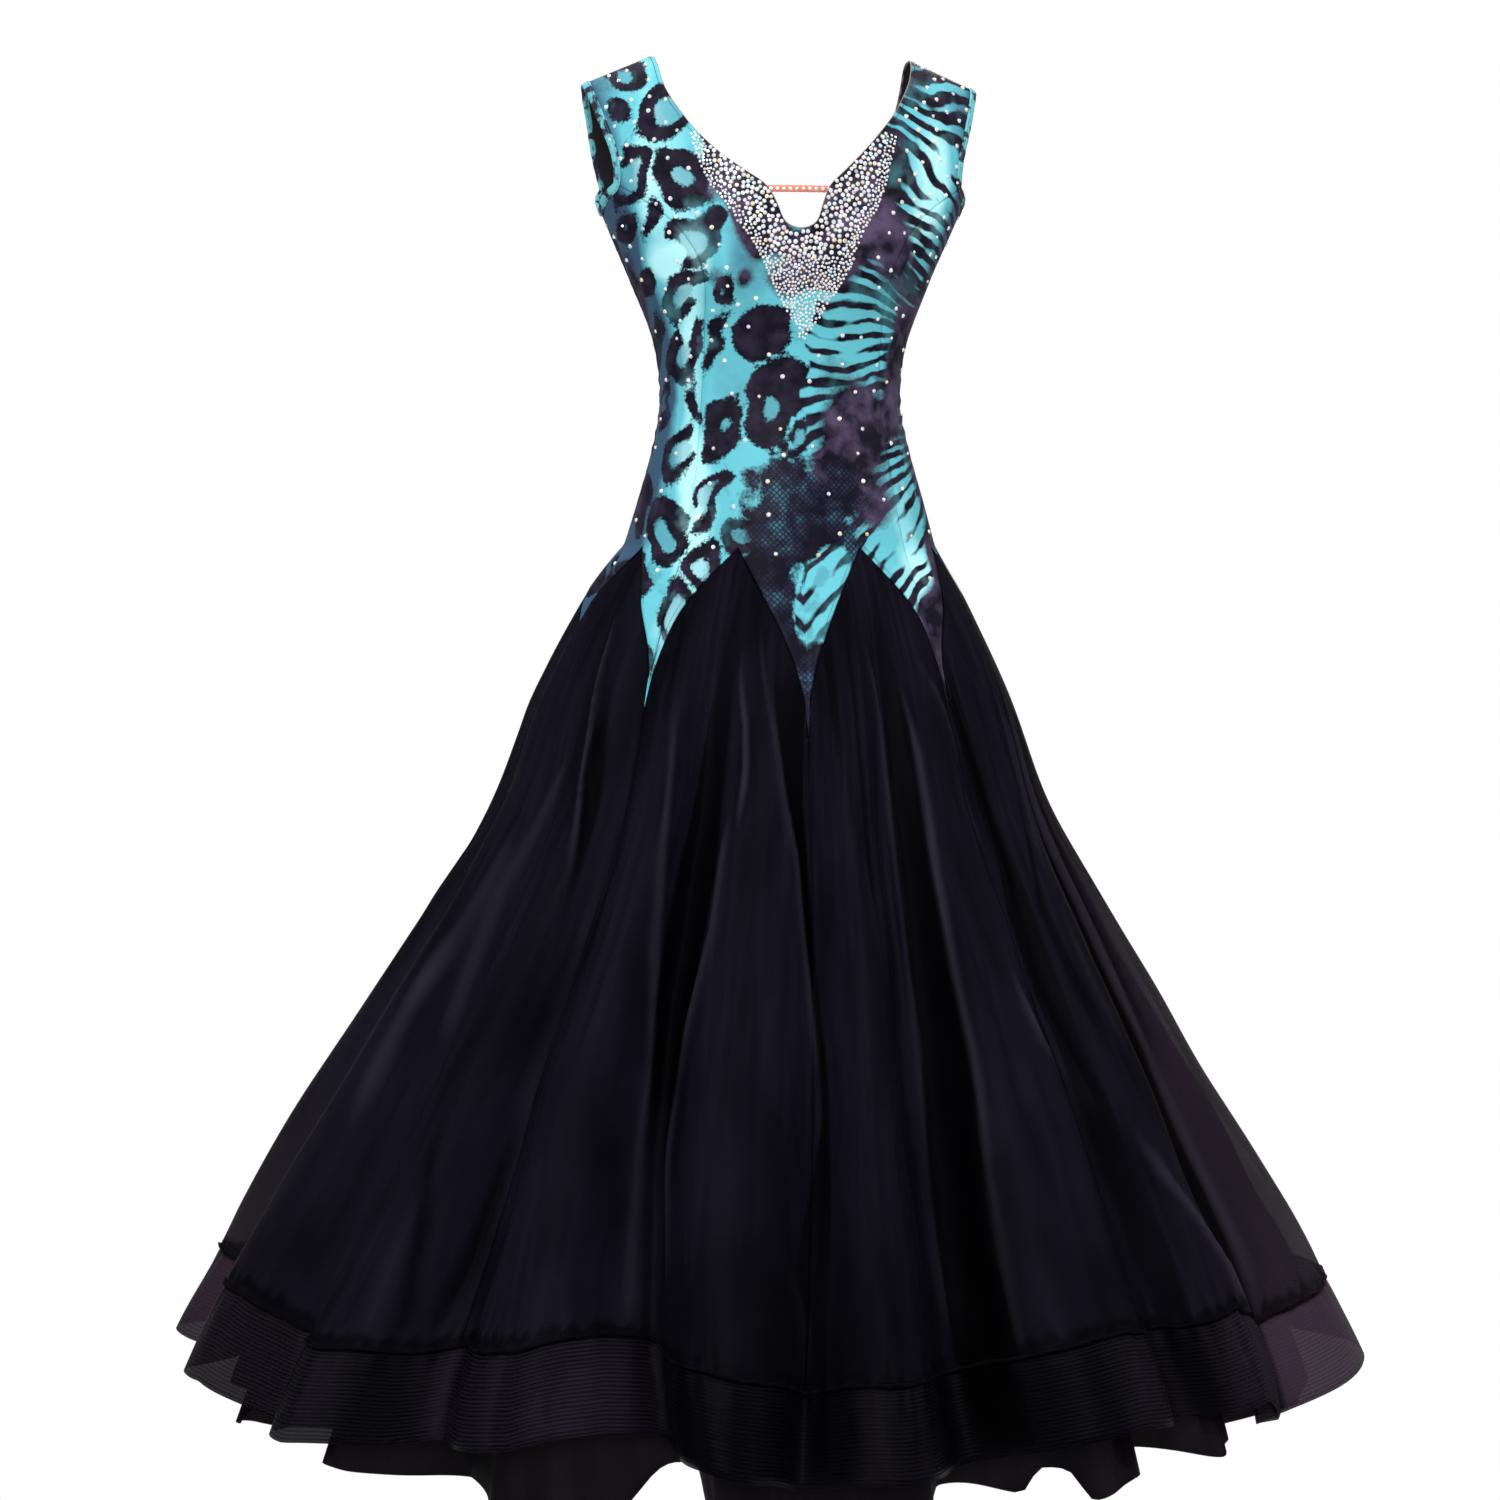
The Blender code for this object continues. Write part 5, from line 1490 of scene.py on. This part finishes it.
# Where the raw hem rises: angle, reach and height.
HEM_RISES = (
    (-22.5, 3.6, 0.036), (29.6, 1.7, 0.028), (62, 6, 0.008), (-70, 7, 0.008), (140, 6, 0.008),
    (-128, 5, 0.008),
)


def underskirt_place(across, up):
    """Where its shares across and up lie: all round, from the uneven hem to the hip."""
    angle = -180 + 360 * across
    middle = np.cos(np.radians(angle)) ** 2
    hem = UNDERSKIRT_SIDE_HEM_LEVEL + (UNDERSKIRT_HEM_LEVEL - UNDERSKIRT_SIDE_HEM_LEVEL) * middle
    for at, width, rise in HEM_RISES:
        hem = hem + rise * np.exp(-(((angle - at) / width) ** 4))
    waves = np.sin(np.radians(angle) * 23 + 2 * np.sin(np.radians(angle) * 9))
    hem = hem + NET_HEM_WAVE * waves
    share = 1 - np.interp(up, (0, 0.9, 1), (0, 0.97, 1))
    return angle, HIP_LEVEL + (hem - HIP_LEVEL) * share


def fallen_share(level):
    """How far down the underskirt a level lies, from the hip to the hem."""
    return np.clip((HIP_LEVEL - level) / (HIP_LEVEL - UNDERSKIRT_HEM_LEVEL), 0, 1)


def underskirt_form(angle, level):
    """Points of the underskirt: inside the dress, and narrower the lower it hangs."""
    share = fallen_share(level)
    gap = SEAM_GAP + (LAYER_GAP - SEAM_GAP) * np.minimum(share / UNDERSKIRT_FREE_SHARE, 1)
    points = dress_form(angle, level) - outward(dress_form, angle, level) * (CLOTH + gap)[:, None]
    points[:, :2] *= (1 - UNDERSKIRT_SHRINK * share**UNDERSKIRT_SHRINK_POWER)[:, None]
    return points


def underskirt_off(angle, level, _, __):
    """Its narrow folds, which grow toward the hem."""
    around = np.radians(angle)
    soft = np.sin(around * 41 + 1.8 * np.sin(around * 7))
    soft = soft + 0.6 * np.sin(around * 67 + 2 * np.sin(around * 5))
    return NET_FOLD_HEIGHT * soft * np.clip(fallen_share(level) - NET_FOLD_START, 0, 1) ** 1.3


# Painted shade on the net under the flutes: angle and level, reach of each and strength.
NET_SHADES = (
    (-42, -1.3, 9, 0.06, 0.9), (-8, -1.3, 3, 0.08, 0.8), (10, -1.3, 9, 0.08, 0.55),
    (30.5, -1.3, 1.7, 0.08, 0.9), (43, -1.3, 4, 0.08, 0.8), (-70, -1.3, 7, 0.08, 0.7),
    (75, -1.3, 6, 0.08, 0.6), (180, -1.3, 9, 0.08, 0.7), (130, -1.3, 8, 0.08, 0.7),
    (-120, -1.3, 9, 0.08, 0.7),
)
net = Finish("black_net", {"Specular IOR Level": 0.01, "Alpha": 0.95})
net_place = net.flat_place()
net_streaks = net.noise(net.mapped(net_place, (1.0, 0.08, 1.0)), 60, 3)
net_tone = net.blend(net_streaks.past(0.5, 0.5), (0.0034, 0.0020, 0.0042), (0.0120, 0.0070, 0.0130))
# Painted shade under the flutes.
net.join("Base Color", net.blend(net.field("net_shade"), net_tone, (0.0010, 0.0007, 0.0014)))
net.join("Roughness", 0.55 + 0.15 * net_streaks)
net.join("Normal", net.relief(net.weave(net_place, NET_PITCH), 0.00008, 0.4))

net_grid = (NET_COLUMNS, NET_ROWS, underskirt_place)
bm, angle, level = cloth_mesh(underskirt_form, [net_grid], underskirt_off)
fields = {"net_shade": np.clip(patches_over(angle, level, NET_SHADES), 0, 0.9)}
flat = skirt_place_of(angle, level)
under_piece = finished_piece("underskirt_net", bm, (net,), fields, flat, NET_THICKNESS)
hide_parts("underskirt")

# ---------------------------------------------------------------------------
# Rhinestones. Flat-backed cut glass, clear, gold, blue and rose, glued on: a
# packed V along the neckline down to a point, single ones all over the
# bodice, and a row on the bar.
# ---------------------------------------------------------------------------
V_RIGHT_EDGE = (
    (-0.072, 31.8), (-0.111, 27.8), (-0.129, 24.2), (-0.151, 20.8), (-0.173, 16.2), (-0.201, 12),
    (-0.234, 5.4), (-0.26, -3),
)
V_LEFT_EDGE = (
    (-0.075, 29.8), (-0.112, 26.8), (-0.136, 25.2), (-0.159, 21.2), (-0.197, 17.8), (-0.234, 10.8),
    (-0.26, 3.6),
)
V_SPAN, V_TOP, V_POINT, V_TRIES = (-32, 30), -0.070, -0.262, 60000
V_PACKED_PITCH, V_OPEN_PITCH, V_PACKED_EDGE, V_PACKED_LEVEL = 0.0028, 0.0042, 0.012, -0.185
V_RADII, V_NOTCH_MARGIN, NECK_CLEARANCE = (0.50, 0.60), 0.003, 0.0026
# A stone's height and its flat top, as shares of its radius, and its tilt.
STONE_HEIGHT, STONE_TOP, STONE_TILT, STONE_SINK, STONE_SIDES = 0.72, 0.52, 0.10, 0.0002, 8
SINGLE_RADII, SINGLE_ACROSS, SINGLE_UP = (0.0019, 0.0022, 0.0025), (0.05, 0.95), (0.10, 0.97)
# Single stones lie further apart the lower they are.
SINGLE_TRIES, SINGLE_PITCH, SINGLE_PITCH_GROWTH, SINGLE_PITCH_START = 900, 0.013, 0.045, -0.10
SINGLE_COUNTS = {"front_centre": 58, "front_side": 26, "back_side": 18, "back_centre": 34}
GLASS = ("clear_glass", "gold_glass", "blue_glass", "rose_glass", "grey_glass")
GLASS_SHARES = (0.48, 0.20, 0.18, 0.06, 0.08)
GLASS_COLOURS = (
    ((0.95, 0.97, 1), (0.86, 0.9, 1)), ((1, 0.86, 0.58), (0.95, 0.68, 0.34)),
    ((0.6, 0.78, 1), (0.55, 0.9, 0.95)), ((1, 0.62, 0.74), (0.95, 0.7, 0.95)),
    ((0.45, 0.48, 0.56), (0.75, 0.76, 0.82)),
)
glass_finishes = []
for name, (first, second) in zip(GLASS, GLASS_COLOURS):
    glass = Finish(name, {"Metallic": 0.12, "Roughness": 0.12, "Specular IOR Level": 0.9})
    shimmer = glass.noise(glass.own_place(), 240, 1)
    glass.join("Base Color", glass.blend(shimmer.past(0.5, 0.2), first, second))
    glass_finishes.append(glass)


def set_stones(name, angle, level, radii, lift, seed):
    """Stones on the dress, as one piece: low cut cones, each turned and tipped a little."""
    chance = random.Random(seed)
    points = dress_form(angle, level)
    normals = outward(dress_form, angle, level)
    bm = bmesh.new()
    kinds = []
    for point, normal, radius, up in zip(points, normals, radii, lift):
        tip = Vector([chance.gauss(0, STONE_TILT) for _ in range(3)])
        axis = (Vector(normal) + tip).normalized()
        turn = axis.to_track_quat("Z", "Y").to_matrix().to_4x4()
        turn = turn @ Matrix.Rotation(chance.uniform(0, math.tau), 4, "Z")
        height = radius * STONE_HEIGHT
        middle = Vector(point) + Vector(normal) * (height / 2 - STONE_SINK + up)
        bmesh.ops.create_cone(
            bm, cap_ends=True, segments=STONE_SIDES, radius1=radius, radius2=radius * STONE_TOP,
            depth=height, matrix=Matrix.Translation(middle) @ turn,
        )
        kinds += [chance.choices(range(len(GLASS)), GLASS_SHARES)[0]] * (STONE_SIDES + 2)
    bm.faces.ensure_lookup_table()
    for face, kind in zip(bm.faces, kinds):
        face.material_index = kind
    finished_piece(name, bm, glass_finishes, smooth=False)


chance = random.Random(3)
tried = [(chance.uniform(*V_SPAN), chance.uniform(V_POINT, V_TOP)) for _ in range(V_TRIES)]
tried = np.array(tried)
tried_points = dress_form(*tried.T)
angle, level = tried.T
outer = np.where(angle > 0, smooth_line(V_LEFT_EDGE, level), smooth_line(V_RIGHT_EDGE, level))
above_notch = np.maximum(level, FRONT_NOTCH_LEVEL)
inner = np.where(
    angle > 0,
    neck_angle(FRONT_NECKLINE, 1, above_notch),
    neck_angle(FRONT_NECKLINE, -1, above_notch),
)
reach = np.radians(at_level(BODY, 1, level))
from_outer, from_neck = (outer - np.abs(angle)) * reach, (np.abs(angle) - inner) * reach
from_neck = np.where(level < FRONT_NOTCH_LEVEL - V_NOTCH_MARGIN, 1, from_neck)
packed = (level < V_PACKED_LEVEL) | (from_outer < V_PACKED_EDGE)
v_places, v_points, v_radii = [], np.zeros((0, 3)), []
for number in np.flatnonzero((from_outer > 0) & (from_neck > NECK_CLEARANCE)):
    clear = V_PACKED_PITCH if packed[number] else V_OPEN_PITCH
    if not len(v_points) or np.linalg.norm(v_points - tried_points[number], axis=1).min() > clear:
        v_points = np.vstack([v_points, tried_points[number]])
        v_places.append(tried[number])
        v_radii.append(clear * chance.uniform(*V_RADII))
v_angles, v_levels = np.array(v_places).T
set_stones("neckline_stones", v_angles, v_levels, v_radii, ease(v_angles, v_levels), 8)

single_places, single_points = [], [tuple(p) for p in v_points[::3]]
for side in (1, -1):
    for zone, shape, back in (
        ("front_centre", centre_panel, False), ("front_side", side_panel, False),
        ("back_side", side_panel, True), ("back_centre", centre_panel, True),
    ):
        place, found = shape(side, back), 0
        for _ in range(SINGLE_TRIES):
            across, up = chance.uniform(*SINGLE_ACROSS), chance.uniform(*SINGLE_UP)
            angle, level = (float(v[0]) for v in place(np.array([across]), np.array([up])))
            angle = side * (180 - angle) if back else side * angle
            point = dress_form(np.array([angle]), np.array([level]))[0]
            clear = SINGLE_PITCH + SINGLE_PITCH_GROWTH * max(SINGLE_PITCH_START - level, 0)
            apart = all(math.dist(point, other) > clear for other in single_points)
            if found < SINGLE_COUNTS[zone] and apart:
                single_places.append((angle, level))
                single_points.append(tuple(point))
                found += 1
radii = [chance.choice(SINGLE_RADII) for _ in single_places]
angle, level = np.array(single_places).T
set_stones("single_stones", angle, level, radii, ease(angle, level), 9)

BAR_STONES, BAR_STONE_SPREAD, BAR_STONE_RADIUS = 10, 8.8, 0.0021
angle = np.linspace(-BAR_STONE_SPREAD, BAR_STONE_SPREAD, BAR_STONES)
level, lift = np.full(BAR_STONES, BAR_LEVEL), np.full(BAR_STONES, BAR_THICKNESS / 2 - BAR_DEPTH)
set_stones("bar_stones", angle, level, [BAR_STONE_RADIUS] * BAR_STONES, lift, 10)
